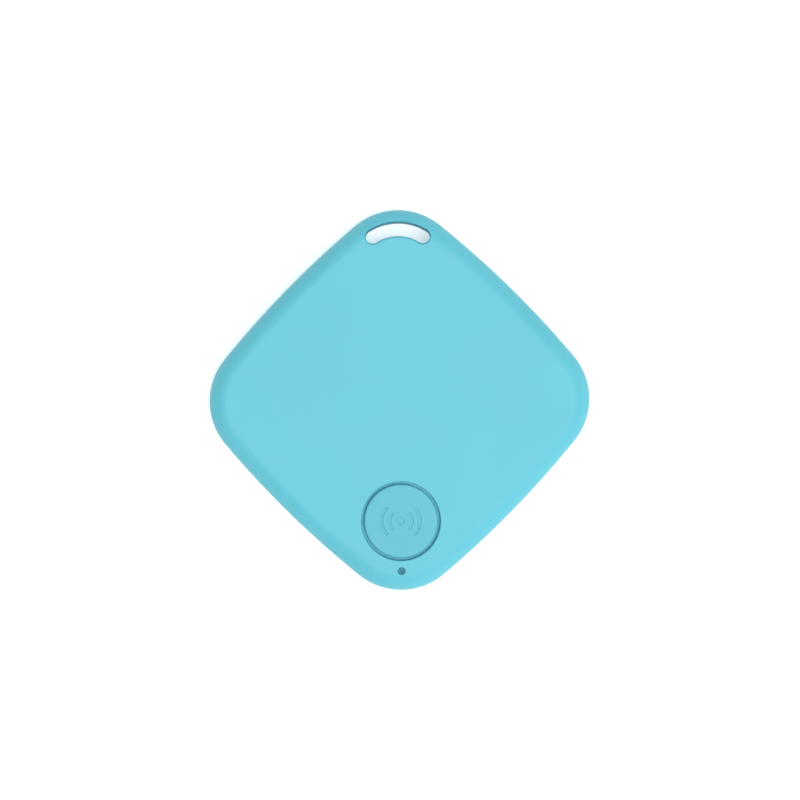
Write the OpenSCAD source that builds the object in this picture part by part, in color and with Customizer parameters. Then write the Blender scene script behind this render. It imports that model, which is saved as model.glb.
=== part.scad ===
// Square key-finder tag with a snap-together case, a press button and a replaceable coin cell.
// Millimetres. X is to the right, Y points to the key-ring slot, Z points out of the front face.
// The origin is the centre of the flat back face.

/* [Case] */
// Side of the square through the centres of the four corner arcs
core_w = 21; // [21:0.1:22]
// Thickness from the back face to the front face
case_t = 7.5; // [7.5:0.1:9]
// Radius of the outline's corners
corner_r = 8; // [7.6:0.1:8.4]
// Radius of the rounded front and back edges
edge_r = 2.2; // [1.8:0.1:2.4]
// Thickness of the side wall
side_wall = 1.2; // [1.1:0.05:1.3]
// Thickness of the front wall
front_wall = 1.1; // [1:0.05:1.2]
// Thickness of the rear wall
rear_wall = 1; // [0.9:0.05:1.1]
// Height of the seam between the two covers
seam_z = 3; // [2.8:0.1:3.2]

/* [Key-ring slot] */
// Width of the slot
slot_w = 1.75; // [1.5:0.05:1.9]
// Material left between the slot and the corner's edge
slot_web = 1.45; // [1.3:0.05:1.8]
// Angle from the middle of the slot to the centre of its round end
slot_angle = 32; // [25:1:36]

/* [Button] */
// Diameter of the button's face
button_d = 8.8; // [8:0.1:9]
// Gap between the button's face and the case
button_gap = 0.35; // [0.25:0.05:0.4]
// Distance from the case's centre to the button's centre
button_offset = 14.5; // [14.4:0.1:14.8]

/* [Indicator] */
// Diameter of the light hole
light_d = 0.9; // [0.8:0.05:1]
// Distance from the case's centre to the light hole
light_offset = 20.5; // [20.3:0.1:20.6]

/* [Power] */
// Diameter of the coin cell
cell_d = 20; // [20:0.05:20.05]
// Thickness of the coin cell
cell_t = 3.2; // [3:0.1:3.2]
// Distance from the case's centre to the cell's centre
cell_y = 3.2; // [3.2:0.1:3.4]

/* [Board] */
// Thickness of the circuit board
board_t = 0.8; // [0.6:0.1:0.8]
// Height of the board's underside above the back face
board_z = 1.6; // [1.5:0.05:1.6]

/* [Hidden] */

case_colour = "#7cd2e3";
eps = 0.01;
fine = 48;
side_steps = 8;
corner_steps = 14;
edge_steps = 8;
slot_steps = 12;

// Outline: each side is a long arc that meets the corner arcs smoothly, where the line through
// the two arcs' centres rises by rise in run.
rise = 21;
run = 220;
corner_c = core_w / 2;
corner_y = corner_c * sqrt(2);
side_r = corner_c * norm([rise, run]) / rise + corner_r;
side_x = corner_c - run * corner_c / rise;
seam_angle = atan2(rise, run);
half_w = side_x + side_r;
case_w = 2 * half_w;
tip = corner_y + corner_r;

// Heights
ceiling_z = case_t - front_wall;
board_top = board_z + board_t;
seam_gap = 0.05;

// Tongue of the front cover, inside the rebate of the rear cover
tongue_h = 1;
tongue_out = 0.7;
tongue_fit = 0.05;
bead_r = 0.25;
bead_len = 5;
bead_proud = 0.15;
notch_w = 5;
notch_h = 0.6;
notch_d = 0.75;

// Slot
slot_r = corner_r - slot_web - slot_w / 2;
slot_chamfer = 0.25;
slot_wall = 1.1;

// Button
button_r = button_d / 2;
button_hole_r = button_r + button_gap;
flange_r = button_hole_r + 0.25;
flange_t = 0.6;
guide_clear = 0.2;
guide_wall = 0.7;
guide_depth = 1.5;
key_w = 1.2;
stem_r = 1.2;
icon_depth = 0.12;
icon_line = 0.36;
button_edge = 0.15;
touch = 0.02;

// Switch on the board, under the button
switch_w = 4.5;
switch_h = 1.5;
switch_base_h = 0.95;
switch_frame_t = 0.15;
plunger_r = 1;
plunger_flange_r = 1.5;
plunger_flange_t = 0.2;
dome_r = 1.6;
dome_t = 0.08;
switch_top = board_top + switch_h;
dome_z = board_top + 0.3;

// Light pipe and lamp
led_h = 0.55;
pipe_foot_r = 0.8;
pipe_shoulder = 0.35;
pipe_recess = 0.35;

// Coin cell and its contacts
cell_r = cell_d / 2;
cell_z = board_top + 0.35;
cell_top = cell_z + cell_t;
can_wall = 0.25;
cap_r = 8.9;
cap_proud = 0.15;
cradle_r = cell_r + 0.25;
cradle_wall = 0.85;
cradle_h = 2.2;
cradle_ledge = 0.45;
contact_t = 0.15;
contact_angle = -42;
pad_r = 4;
pad_xy = [3.4, 4.4];

// Piezo sounder, glued under the front wall
piezo_xy = [-13.2, 0.2];
piezo_r = 6;
ceramic_r = 4.3;
piezo_t = 0.12;
tape_t = 0.1;
tape_r = 4.9;
spring_r = 0.6;
spring_wire = 0.14;
spring_turns = 5;
spring_out = 5.15;

// Board
board_inset = side_wall + 0.35;
board_top_y = 16.8;
screw_at = [[-9.4, 12.6], [9.4, 12.6], [-6.6, -15.2]];
post_at = [6.6, -15.2];
screw_r = 0.7;
screw_clear = 0.1;
screw_head_r = 1.2;
screw_head_t = 0.5;
screw_depth = 1.15;
boss_r = 1.7;
post_r = 0.8;

// Parts on the board: centre and turn
chip_at = [14.4, -1.6];
chip_w = 4;
crystal_at = [14.2, 3.1];
inductor_at = [-10, -9.6];
transistor_at = [-5.6, -10.9];
bulk_at = [5.9, -11];
capacitor_at = [
    [11.6, -7.9, 45], [12.7, -6.8, 45], [9.1, -11.3, 45], [10.2, -9.3, -45],
    [12.1, -4.4, 0], [17, -4.2, 90], [12.4, 6.6, -45], [-12.6, -8, -45]
];
resistor_at = [
    [8, -12.4, 45], [7.8, -9.4, 45], [13.4, 5.9, -45], [-7.6, -12.6, -45], [-3.4, -18.2, 0]
];

// ---- Shared shapes ----

// Solid through a list of rings. Each ring is an outline, counter-clockwise, and its height.
module stack(rings) {
    n = len(rings[0][0]);
    last = len(rings) - 1;
    points = [for (ring = rings, p = ring[0]) [p[0], p[1], ring[1]]];
    walls = [for (k = [0 : last - 1], i = [0 : n - 1])
        let (j = (i + 1) % n)
        [k * n + i, (k + 1) * n + i, (k + 1) * n + j, k * n + j]];
    bottom = [for (i = [0 : n - 1]) i];
    top = [for (i = [n - 1 : -1 : 0]) last * n + i];
    polyhedron(points = points, faces = concat(walls, [bottom, top]), convexity = 4);
}

function on_circle(centre, r, a) = [centre[0] + r * cos(a), centre[1] + r * sin(a)];

function turned(p, a) = [p[0] * cos(a) - p[1] * sin(a), p[0] * sin(a) + p[1] * cos(a)];

// One side and one corner of the case's outline, set in by inset, before the case is turned.
function side_points(inset) = [for (i = [0 : side_steps - 1])
    on_circle([side_x, 0], side_r - inset, seam_angle * (2 * i / side_steps - 1))];

function corner_points(inset) = [for (i = [0 : corner_steps - 1])
    on_circle([corner_c, corner_c], corner_r - inset,
              seam_angle + (90 - 2 * seam_angle) * i / corner_steps)];

function case_outline(inset) = [
    for (turn = [45 : 90 : 315], p = concat(side_points(inset), corner_points(inset)))
        turned(p, turn)
];

// Steps round a rounded edge of radius e: how far each is set in, and its height.
function edge_path(e) = e == 0 ? [[0, 0]] : [for (i = [0 : edge_steps])
    [e * (1 - sin(90 * i / edge_steps)), e * (1 - cos(90 * i / edge_steps))]];

function reversed(list) = [for (i = [len(list) - 1 : -1 : 0]) list[i]];

// The case's outline set in by inset, from z0 to z1, with round edges e0 and e1.
module pebble(inset, z0, z1, e0 = 0, e1 = 0) {
    low = [for (q = edge_path(e0)) [case_outline(inset + q[0]), z0 + q[1]]];
    high = [for (q = reversed(edge_path(e1))) [case_outline(inset + q[0]), z1 - q[1]]];
    stack(concat(low, high));
}

// The slot's outline, grown by grow: outer arc, left end, inner arc, right end.
function slot_outline(grow) =
    let (half = slot_w / 2 + grow, middle = [0, corner_y],
         left = on_circle(middle, slot_r, 90 + slot_angle),
         right = on_circle(middle, slot_r, 90 - slot_angle))
    concat(
        [for (i = [0 : slot_steps])
            on_circle(middle, slot_r + half, 90 + slot_angle * (2 * i / slot_steps - 1))],
        [for (i = [1 : slot_steps - 1])
            on_circle(left, half, 90 + slot_angle + 180 * i / slot_steps)],
        [for (i = [slot_steps : -1 : 0])
            on_circle(middle, slot_r - half, 90 + slot_angle * (2 * i / slot_steps - 1))],
        [for (i = [1 : slot_steps - 1])
            on_circle(right, half, 270 - slot_angle + 180 * i / slot_steps)]
    );

// A block with the slot's curved shape, grown sideways by grow.
module slot_block(z0, z1, grow = 0) {
    stack([[slot_outline(grow), z0], [slot_outline(grow), z1]]);
}

// The slot with a small chamfer where it meets the flat faces.
module slot_cut() {
    c = slot_chamfer;
    stack([
        [slot_outline(2 * c), -c], [slot_outline(0), c],
        [slot_outline(0), case_t - c], [slot_outline(2 * c), case_t + c]
    ]);
}

module at_button() {
    translate([0, -button_offset, 0]) children();
}

module at_cell() {
    translate([0, cell_y, 0]) children();
}

module on_board(place) {
    translate([place[0], place[1], board_top])
        rotate([0, 0, len(place) > 2 ? place[2] : 0])
            children();
}

// A block centred in X and Y, standing on its own bottom face.
module block(size) {
    translate([-size[0] / 2, -size[1] / 2, 0]) cube(size);
}

module ring(r_in, r_out, z0, z1) {
    difference() {
        translate([0, 0, z0]) cylinder(r = r_out, h = z1 - z0, $fn = fine);
        translate([0, 0, z0 - 1]) cylinder(r = r_in, h = z1 - z0 + 2, $fn = fine);
    }
}

// The four snap beads, or their grooves, along the middle of the sides.
module snap_lines(r, length) {
    for (turn = [45 : 90 : 315])
        rotate([0, 0, turn])
            translate([half_w - tongue_out + bead_proud - bead_r, length / 2, seam_z - tongue_h / 2])
                rotate([90, 0, 0]) cylinder(r = r, h = length, $fn = 32);
}

// ---- Front cover and what is fixed in it ----

module front_cover() {
    color(case_colour)
    difference() {
        union() {
            difference() {
                pebble(0, seam_z + seam_gap, case_t, 0, edge_r);
                difference() {
                    pebble(side_wall, 0, ceiling_z, 0, edge_r - side_wall);
                    slot_block(-1, case_t, slot_wall);
                }
            }
            tongue();
            at_button() button_guide();
        }
        slot_cut();
        at_button() {
            translate([0, 0, ceiling_z - eps])
                cylinder(r = button_hole_r, h = front_wall + 1, $fn = fine);
            translate([0, 0, case_t - button_edge])
                cylinder(r1 = button_hole_r, r2 = button_hole_r + 1.1 * button_edge,
                         h = 1.1 * button_edge, $fn = fine);
        }
        translate([0, -light_offset, ceiling_z - 1])
            cylinder(r = light_d / 2, h = front_wall + 2, $fn = fine);
    }
}

module tongue() {
    difference() {
        pebble(tongue_out, seam_z - tongue_h, seam_z + 2 * seam_gap);
        pebble(side_wall, seam_z - tongue_h - 1, seam_z + 1);
        slot_block(-1, case_t, slot_wall + tongue_fit);
    }
    snap_lines(bead_r, bead_len);
}

// Ring under the front wall that guides the button's flange and keeps it from turning.
module button_guide() {
    guide_r = flange_r + guide_clear;
    difference() {
        ring(guide_r, guide_r + guide_wall, ceiling_z - guide_depth, ceiling_z + eps);
        translate([0, 0, ceiling_z - guide_depth - 1])
            block([2 * guide_r + 4, key_w + 2 * guide_clear, guide_depth + 1]);
        translate([0, button_offset - light_offset, ceiling_z - guide_depth - 1])
            cylinder(r = pipe_foot_r + guide_clear, h = guide_depth + 1, $fn = fine);
    }
}

module light_pipe() {
    foot_z = board_top + led_h + guide_clear;
    color("#dff4f7")
    translate([0, -light_offset, 0]) {
        translate([0, 0, foot_z])
            cylinder(r = pipe_foot_r, h = ceiling_z - pipe_shoulder - foot_z, $fn = fine);
        translate([0, 0, foot_z])
            cylinder(r = light_d / 2, h = case_t - pipe_recess - foot_z, $fn = fine);
    }
}

module piezo_tape() {
    color("#f1ead2")
    translate(piezo_xy) ring(tape_r, piezo_r, ceiling_z - tape_t, ceiling_z);
}

module piezo_plate() {
    color("#c9a24a")
    translate([piezo_xy[0], piezo_xy[1], ceiling_z - tape_t - piezo_t])
        cylinder(r = piezo_r, h = piezo_t, $fn = fine);
}

module piezo_ceramic() {
    color("#d9d9d4")
    translate([piezo_xy[0], piezo_xy[1], ceiling_z - tape_t - 2 * piezo_t])
        cylinder(r = ceramic_r, h = piezo_t, $fn = fine);
}

module cell_pad() {
    color("#3a3d40")
    translate([pad_xy[0], pad_xy[1], cell_top + 2 * touch])
        cylinder(r = pad_r, h = ceiling_z - cell_top - 2 * touch, $fn = fine);
}

// ---- Button ----

module button_cap() {
    flange_top = ceiling_z - touch;
    color(case_colour)
    at_button()
    difference() {
        union() {
            difference() {
                union() {
                    translate([0, 0, flange_top - eps])
                        cylinder(r = button_r, h = case_t - button_edge - flange_top + eps, $fn = fine);
                    translate([0, 0, case_t - button_edge])
                        cylinder(r1 = button_r, r2 = button_r - button_edge, h = button_edge, $fn = fine);
                    translate([0, 0, flange_top - flange_t])
                        cylinder(r = flange_r, h = flange_t, $fn = fine);
                    translate([0, 0, flange_top - flange_t])
                        block([2 * (flange_r + guide_wall), key_w, flange_t]);
                }
                translate([0, 0, flange_top - flange_t - 1])
                    cylinder(r = button_r - 1, h = flange_t + 1 + 0.3, $fn = fine);
            }
            translate([0, 0, switch_top + touch])
                cylinder(r = stem_r, h = ceiling_z + 0.4 - switch_top, $fn = fine);
            for (turn = [0, 90])
                rotate([0, 0, turn])
                    translate([0, 0, flange_top - flange_t])
                        block([2 * button_r - 1, 0.7, flange_t + 0.4]);
        }
        translate([0, 0, case_t - icon_depth]) icon();
    }
}

// A dot between two pairs of sound waves, sunk into the button's face.
module icon() {
    cylinder(r = 0.5, h = 1, $fn = fine);
    for (side = [0, 180], wave_r = [1.35, 2.3])
        rotate([0, 0, side - 42])
            rotate_extrude(angle = 84, $fn = fine)
                translate([wave_r - icon_line / 2, 0]) square([icon_line, 1]);
}

// ---- Coin cell ----

module cell_can() {
    crimp_z = cell_z + cap_proud;
    color("#cfd2d4")
    at_cell() difference() {
        translate([0, 0, crimp_z]) rotate_extrude($fn = fine) {
            square([cell_r - 0.4, cell_t - cap_proud]);
            square([cell_r, cell_t - cap_proud - 0.4]);
            translate([cell_r - 0.4, cell_t - cap_proud - 0.4]) circle(0.4, $fn = fine);
        }
        translate([0, 0, crimp_z - 1])
            cylinder(r = cap_r + 0.3, h = 1 + can_wall, $fn = fine);
        translate([0, 0, crimp_z + can_wall])
            cylinder(r = cell_r - can_wall, h = cell_t - cap_proud - 2 * can_wall, $fn = fine);
    }
}

module cell_gasket() {
    gasket_top = cell_z + cap_proud + can_wall + 0.3;
    color("#2b2e33")
    at_cell() {
        ring(cap_r + touch, cap_r + 0.3 - touch, cell_z + cap_proud / 2, gasket_top);
        ring(cap_r + touch, cell_r - can_wall - touch, cell_z + cap_proud + can_wall + touch, gasket_top);
    }
}

module cell_cap() {
    color("#d6d8da")
    at_cell() difference() {
        translate([0, 0, cell_z]) rotate_extrude($fn = fine) {
            square([cap_r - 0.35, 0.7]);
            translate([0, 0.35]) square([cap_r, 0.35]);
            translate([cap_r - 0.35, 0.35]) circle(0.35, $fn = fine);
        }
        translate([0, 0, cell_z + can_wall]) cylinder(r = cap_r - can_wall, h = 1, $fn = fine);
    }
}

// The rolled electrodes and separator, as one sealed block.
module cell_core() {
    color("#4a4d50")
    at_cell() translate([0, 0, cell_z + 0.7 + touch])
        cylinder(r = cell_r - can_wall - 2 * touch, h = cell_t - 0.7 - can_wall - 2 * touch, $fn = fine);
}

module cell_cradle() {
    color("#23262a")
    at_cell() difference() {
        union() {
            ring(cradle_r, cradle_r + cradle_wall, board_top, board_top + cradle_h);
            ring(cell_r - 0.8, cradle_r + eps, board_top, board_top + cradle_ledge);
        }
        rotate([0, 0, contact_angle])
            translate([cell_r, -2, board_top - 1]) cube([4, 4, 4]);
        for (turn = [90, 225])
            rotate([0, 0, turn])
                translate([cell_r, -3, board_top + 0.9]) cube([4, 6, 4]);
    }
}

// Leaf spring that leans on the side of the cell.
module positive_contact() {
    lean_r = cell_r + touch;
    side = [
        [lean_r + 3.2, 0], [lean_r + 1, 0], [lean_r, 1.3], [lean_r, 1.7], [lean_r + 0.5, 2.5],
        [lean_r + 0.7, 2.4], [lean_r + 0.2, 1.65], [lean_r + 0.2, 1.35], [lean_r + 1.1, 0.2],
        [lean_r + 3.2, 0.2]
    ];
    color("#d8c48a")
    at_cell() rotate([0, 0, contact_angle])
        translate([0, 1.5, board_top]) rotate([90, 0, 0]) linear_extrude(3) polygon(side);
}

// Flat star on the board whose three fingers press on the cell's cap.
module negative_contact() {
    rise = cell_z - board_top - touch;
    finger = [
        [1.5, 0], [2.6, 0], [6, rise - contact_t], [6.8, rise - contact_t], [6.8, rise],
        [5.9, rise], [2.5, contact_t], [1.5, contact_t]
    ];
    color("#d8c48a")
    at_cell() translate([0, 0, board_top]) {
        cylinder(r = 2.4, h = contact_t, $fn = fine);
        for (turn = [30, 150, 270])
            rotate([0, 0, turn]) translate([0, 0.8, 0]) rotate([90, 0, 0]) linear_extrude(1.6) polygon(finger);
    }
}

// ---- Springs from the board to the sounder ----

function helix_point(t, h) = [
    spring_r * cos(360 * spring_turns * t), spring_r * sin(360 * spring_turns * t), h * t
];

module coil_spring(h) {
    steps = spring_turns * 14;
    sides = 6;
    function ring_point(i, k) =
        let (turn = 360 * spring_turns * i / steps, a = 360 * k / sides,
             p = helix_point(i / steps, h - 2 * spring_wire), reach = spring_wire * cos(a))
        [p[0] + reach * cos(turn), p[1] + reach * sin(turn), p[2] + spring_wire * (1 + sin(a))];
    points = [for (i = [0 : steps], k = [0 : sides - 1]) ring_point(i, k)];
    tube = [for (i = [0 : steps - 1], k = [0 : sides - 1])
        let (n = (k + 1) % sides)
        [i * sides + k, (i + 1) * sides + k, (i + 1) * sides + n, i * sides + n]];
    first = [for (k = [0 : sides - 1]) k];
    last = [for (k = [sides - 1 : -1 : 0]) steps * sides + k];
    polyhedron(points = points, faces = concat(tube, [first, last]), convexity = 8);
}

module piezo_springs() {
    color("#d8c48a")
    translate([piezo_xy[0], piezo_xy[1], board_top]) {
        coil_spring(ceiling_z - tape_t - 2 * piezo_t - board_top - touch);
        translate([-spring_out, 0, 0])
            coil_spring(ceiling_z - tape_t - piezo_t - board_top - touch);
    }
}

// ---- Rear cover, board and fasteners ----

module rear_cover() {
    color(case_colour)
    difference() {
        union() {
            difference() {
                pebble(0, 0, seam_z, edge_r, 0);
                difference() {
                    union() {
                        pebble(side_wall, rear_wall, seam_z + 1, edge_r - side_wall, 0);
                        pebble(tongue_out - tongue_fit, seam_z - tongue_h - tongue_fit, seam_z + 1);
                    }
                    slot_block(-1, case_t, slot_wall);
                }
            }
            for (p = screw_at)
                translate([p[0], p[1], rear_wall - eps])
                    cylinder(r = boss_r, h = board_z - rear_wall + eps, $fn = fine);
            translate([0, -button_offset, rear_wall - eps])
                cylinder(r = boss_r, h = board_z - rear_wall + eps, $fn = fine);
            translate([post_at[0], post_at[1], rear_wall - eps]) {
                cylinder(r = boss_r, h = board_z - rear_wall + eps, $fn = fine);
                cylinder(r = post_r, h = board_top + 0.4 - rear_wall, $fn = fine);
            }
        }
        slot_cut();
        snap_lines(bead_r + tongue_fit, bead_len + 0.4);
        for (p = screw_at)
            translate([p[0], p[1], board_z - screw_depth])
                cylinder(r = screw_r + touch, h = screw_depth + 1, $fn = fine);
        translate([0, -tip, seam_z - notch_h])
            block([notch_w, 2 * notch_d, notch_h + 1]);
        opening_arrow();
    }
}

// Small sunk arrow on the back face that points at the prising notch.
module opening_arrow() {
    translate([0, 1.2 - light_offset, -eps])
        linear_extrude(0.15 + eps) polygon([[-1.1, 0], [1.1, 0], [0, -1.5]]);
}

module circuit_board() {
    color("#1f5d3a")
    difference() {
        intersection() {
            pebble(board_inset, board_z, board_top);
            translate([-case_w, -case_w, 0]) cube([2 * case_w, case_w + board_top_y, case_t]);
        }
        for (p = screw_at)
            translate([p[0], p[1], 0]) cylinder(r = screw_r + screw_clear, h = case_t, $fn = fine);
        translate([post_at[0], post_at[1], 0]) cylinder(r = post_r + touch, h = case_t, $fn = fine);
    }
}

module board_screws() {
    color("#b9bcc0")
    for (p = screw_at)
        translate([p[0], p[1], 0]) difference() {
            union() {
                translate([0, 0, board_z - screw_depth + 0.1])
                    cylinder(r = screw_r, h = board_t + screw_depth, $fn = fine);
                translate([0, 0, board_top])
                    cylinder(r = screw_head_r, h = screw_head_t - 0.15, $fn = fine);
                translate([0, 0, board_top + screw_head_t - 0.15])
                    cylinder(r1 = screw_head_r, r2 = screw_head_r - 0.3, h = 0.15, $fn = fine);
            }
            for (turn = [45, 135])
                rotate([0, 0, turn])
                    translate([0, 0, board_top + 0.15]) block([1.3, 0.3, 1]);
        }
}

// ---- Tactile switch ----

module switch_base() {
    color("#1c1e21")
    at_button() difference() {
        translate([0, 0, board_top]) block([switch_w, switch_w, switch_base_h]);
        translate([0, 0, dome_z]) cylinder(r = plunger_flange_r + 0.25, h = 2, $fn = fine);
    }
}

module switch_dome() {
    dome_h = board_top + switch_base_h - plunger_flange_t - touch - dome_z;
    sphere_r = (dome_r * dome_r + dome_h * dome_h) / (2 * dome_h);
    color("#c7c9cb")
    at_button() translate([0, 0, dome_z + dome_h - sphere_r])
        rotate_extrude($fn = fine)
            intersection() {
                difference() {
                    circle(sphere_r, $fn = fine);
                    circle(sphere_r - dome_t, $fn = fine);
                }
                translate([0, sphere_r - dome_h]) square([dome_r, 1]);
            }
}

module switch_frame() {
    frame_z = board_top + switch_base_h + touch;
    lug_h = 0.7;
    color("#c2c5c8")
    at_button() {
        difference() {
            translate([0, 0, frame_z]) block([switch_w, switch_w, switch_frame_t]);
            cylinder(r = plunger_r + 0.1, h = case_t, $fn = fine);
        }
        for (turn = [0, 180])
            rotate([0, 0, turn])
                translate([0, switch_w / 2 + touch, frame_z + switch_frame_t - lug_h])
                    translate([-1, 0, 0]) cube([2, switch_frame_t, lug_h]);
        for (turn = [0, 180])
            rotate([0, 0, turn])
                translate([-1, switch_w / 2 - eps, frame_z])
                    cube([2, touch + 2 * eps, switch_frame_t]);
    }
}

module switch_terminals() {
    color("#d5d7d9")
    at_button()
    for (x = [-1, 1], y = [-1, 1])
        translate([x * (switch_w / 2 + 0.4 + touch), y * 1.5, board_top])
            block([0.8, 0.7, contact_t]);
}

module switch_plunger() {
    flange_z = board_top + switch_base_h - plunger_flange_t;
    color("#e9e4d8")
    at_button() {
        translate([0, 0, flange_z])
            cylinder(r = plunger_flange_r, h = plunger_flange_t, $fn = fine);
        translate([0, 0, flange_z])
            cylinder(r = plunger_r, h = switch_top - flange_z, $fn = fine);
    }
}

// ---- Parts soldered to the board ----

module radio_chip() {
    color("#17181a")
    on_board(chip_at) {
        translate([0, 0, touch]) block([chip_w, chip_w, 0.75]);
    }
}

module crystal() {
    color("#c9cbcd")
    on_board(crystal_at) {
        block([2.5, 2, 0.35]);
        translate([0, 0, 0.35 - eps]) block([2.2, 1.7, 0.25]);
    }
}

// Folded copper line at the right-hand corner of the board.
module antenna_trace() {
    line = 0.4;
    pitch = 0.9;
    first_x = 17.3;
    reach = [2.4, 2.4, 2, 1.6];
    color("#c98a4b")
    translate([0, 0, board_top])
    for (i = [0 : 3]) {
        x = first_x + i * pitch;
        translate([x, -reach[i], 0]) cube([line, 2 * reach[i], 0.05]);
        if (i < 3) {
            side = i % 2 == 0 ? 1 : -1;
            y = side * min(reach[i], reach[i + 1]);
            translate([x, y - line / 2, 0]) cube([pitch + line, line, 0.05]);
        }
    }
}

module status_led() {
    color("#f4f1e2")
    on_board([0, -light_offset]) {
        block([1.6, 0.8, 0.25]);
        block([1.1, 0.7, led_h]);
    }
}

module boost_inductor() {
    color("#3b3d40")
    on_board(inductor_at) {
        cylinder(r = 2, h = 0.4, $fn = fine);
        cylinder(r = 1.7, h = 1.7, $fn = fine);
        translate([0, 0, 1.4]) cylinder(r = 2, h = 0.4, $fn = fine);
    }
}

module driver_transistor() {
    color("#1b1c1e")
    on_board([transistor_at[0], transistor_at[1], -45]) {
        translate([0, 0, 0.1]) block([2.9, 1.3, 0.9]);
        for (leg = [[-0.95, -0.95], [0.95, -0.95], [0, 0.95]])
            translate([leg[0], leg[1], 0]) block([0.4, 0.7, 0.15]);
    }
}

module bulk_capacitor() {
    color("#c8a06a")
    on_board([bulk_at[0], bulk_at[1], 45]) block([3.2, 1.6, 1.2]);
}

module capacitors() {
    color("#b98a5a")
    for (place = capacitor_at) on_board(place) block([1, 0.5, 0.5]);
}

module resistors() {
    color("#202225")
    for (place = resistor_at) on_board(place) block([1, 0.5, 0.35]);
}

front_cover();
light_pipe();
piezo_tape();
piezo_plate();
piezo_ceramic();
cell_pad();
button_cap();
switch_plunger();
cell_can();
cell_gasket();
cell_cap();
cell_core();
rear_cover();
circuit_board();
board_screws();
cell_cradle();
positive_contact();
negative_contact();
piezo_springs();
switch_base();
switch_dome();
switch_frame();
switch_terminals();
radio_chip();
crystal();
antenna_trace();
status_led();
boost_inductor();
driver_transistor();
bulk_capacitor();
capacitors();
resistors();
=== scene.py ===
# %% [markdown]
# # A key-finder tag, inside and out
# The object is a small square tag for a key ring. Its case is two moulded covers that snap
# together. Inside are a coin cell, a circuit board, a press switch and a thin sounder.
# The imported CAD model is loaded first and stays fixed. Every piece made here is placed by
# the boxes of the CAD pieces, so nothing has to be fitted by eye.

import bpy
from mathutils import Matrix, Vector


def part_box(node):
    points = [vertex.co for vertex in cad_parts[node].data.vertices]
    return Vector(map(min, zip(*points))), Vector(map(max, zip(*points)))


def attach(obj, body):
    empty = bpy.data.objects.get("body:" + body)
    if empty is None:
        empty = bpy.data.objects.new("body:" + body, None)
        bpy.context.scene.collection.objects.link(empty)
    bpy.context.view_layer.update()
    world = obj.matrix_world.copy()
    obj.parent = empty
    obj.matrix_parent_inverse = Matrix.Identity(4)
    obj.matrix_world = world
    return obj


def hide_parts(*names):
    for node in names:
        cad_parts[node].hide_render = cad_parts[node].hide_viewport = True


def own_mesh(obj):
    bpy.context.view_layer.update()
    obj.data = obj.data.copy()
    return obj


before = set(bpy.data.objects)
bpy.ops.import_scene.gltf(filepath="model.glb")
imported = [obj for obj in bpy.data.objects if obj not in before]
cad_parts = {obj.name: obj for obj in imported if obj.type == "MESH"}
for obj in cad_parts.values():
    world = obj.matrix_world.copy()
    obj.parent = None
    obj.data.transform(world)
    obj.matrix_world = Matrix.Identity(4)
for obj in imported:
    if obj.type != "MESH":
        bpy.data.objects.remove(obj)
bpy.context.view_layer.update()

# %% [markdown]
# ## Tools and units
# Blender works in metres, and a part this small is easier to think about in millimetres.
# Every size could be typed in metres, with many zeros. Here sizes stay in millimetres and
# are multiplied by MM only where a mesh is written.

# %% Tools and units
import math

import bmesh
import bpy
from mathutils import Matrix, Vector

MM = 0.001


def span(node):
    """Lowest and highest corner of a CAD piece, in millimetres."""
    low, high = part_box(node)
    return low / MM, high / MM


# %% [markdown]
# ## Sizes that come from the frame
# The outline is a square with bowed sides and round corners, turned by 45 degrees. Two arcs
# make it: a long one for each side and a short one for each corner. They meet smoothly
# where the line through both centres rises by 21 in 220. The width of the tag then fixes
# everything else, so the outline is worked out here and not drawn point by point.

# %% Main dimensions
front_low, front_high = span("front_cover")
button_low, button_high = span("button_cap")
board_low, board_high = span("circuit_board")
can_low, can_high = span("cell_can")
lamp_low, lamp_high = span("status_led")

TOP = front_high.z
SEAM = span("rear_cover")[1].z
TIP = front_high.x
BOARD_TOP = board_high.z
BOARD_BOTTOM = board_low.z

CORNER_R = 8.0
RISE, RUN = 21.0, 220.0
CORNER_C = (TIP - CORNER_R) / math.sqrt(2)
CORNER_Y = TIP - CORNER_R
SEAM_ANGLE = math.atan2(RISE, RUN)
SIDE_R = CORNER_C * math.hypot(RISE, RUN) / RISE + CORNER_R
SIDE_X = CORNER_C - RUN * CORNER_C / RISE

SIDE_WALL = 1.2
FRONT_WALL = 1.1
REAR_WALL = 1.0
CEILING = TOP - FRONT_WALL
SEAM_GAP = 0.05
EDGE_R = 2.2

HALF_W = SIDE_X + SIDE_R
print(f"tag {2 * HALF_W:.2f} mm across, {2 * TIP:.2f} mm from corner to corner, {TOP:.2f} mm thick")

# %% [markdown]
# ## The outline
# A moulded shell could be sculpted or subdivided from a cage. Its shape follows a rule,
# though: every level of it is the same outline, set in by some amount. The outline is made
# once as a closed line of points, one quarter by its two arcs and the rest by turning it.

# %% Outline
SIDE_STEPS = 20
CORNER_STEPS = 30
EDGE_STEPS = 12


def around(centre, radius, angle):
    return (centre[0] + radius * math.cos(angle), centre[1] + radius * math.sin(angle))


def case_outline():
    """The tag's outline, counter-clockwise, in millimetres."""
    quarter = []
    for i in range(SIDE_STEPS):
        angle = SEAM_ANGLE * (2 * i / SIDE_STEPS - 1)
        quarter.append(around((SIDE_X, 0), SIDE_R, angle))
    for i in range(CORNER_STEPS):
        angle = SEAM_ANGLE + (math.pi / 2 - 2 * SEAM_ANGLE) * i / CORNER_STEPS
        quarter.append(around((CORNER_C, CORNER_C), CORNER_R, angle))
    points = []
    for turn in (45, 135, 225, 315):
        c, s = math.cos(math.radians(turn)), math.sin(math.radians(turn))
        points += [(x * c - y * s, x * s + y * c) for x, y in quarter]
    return points


print("outline points:", len(case_outline()))

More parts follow.
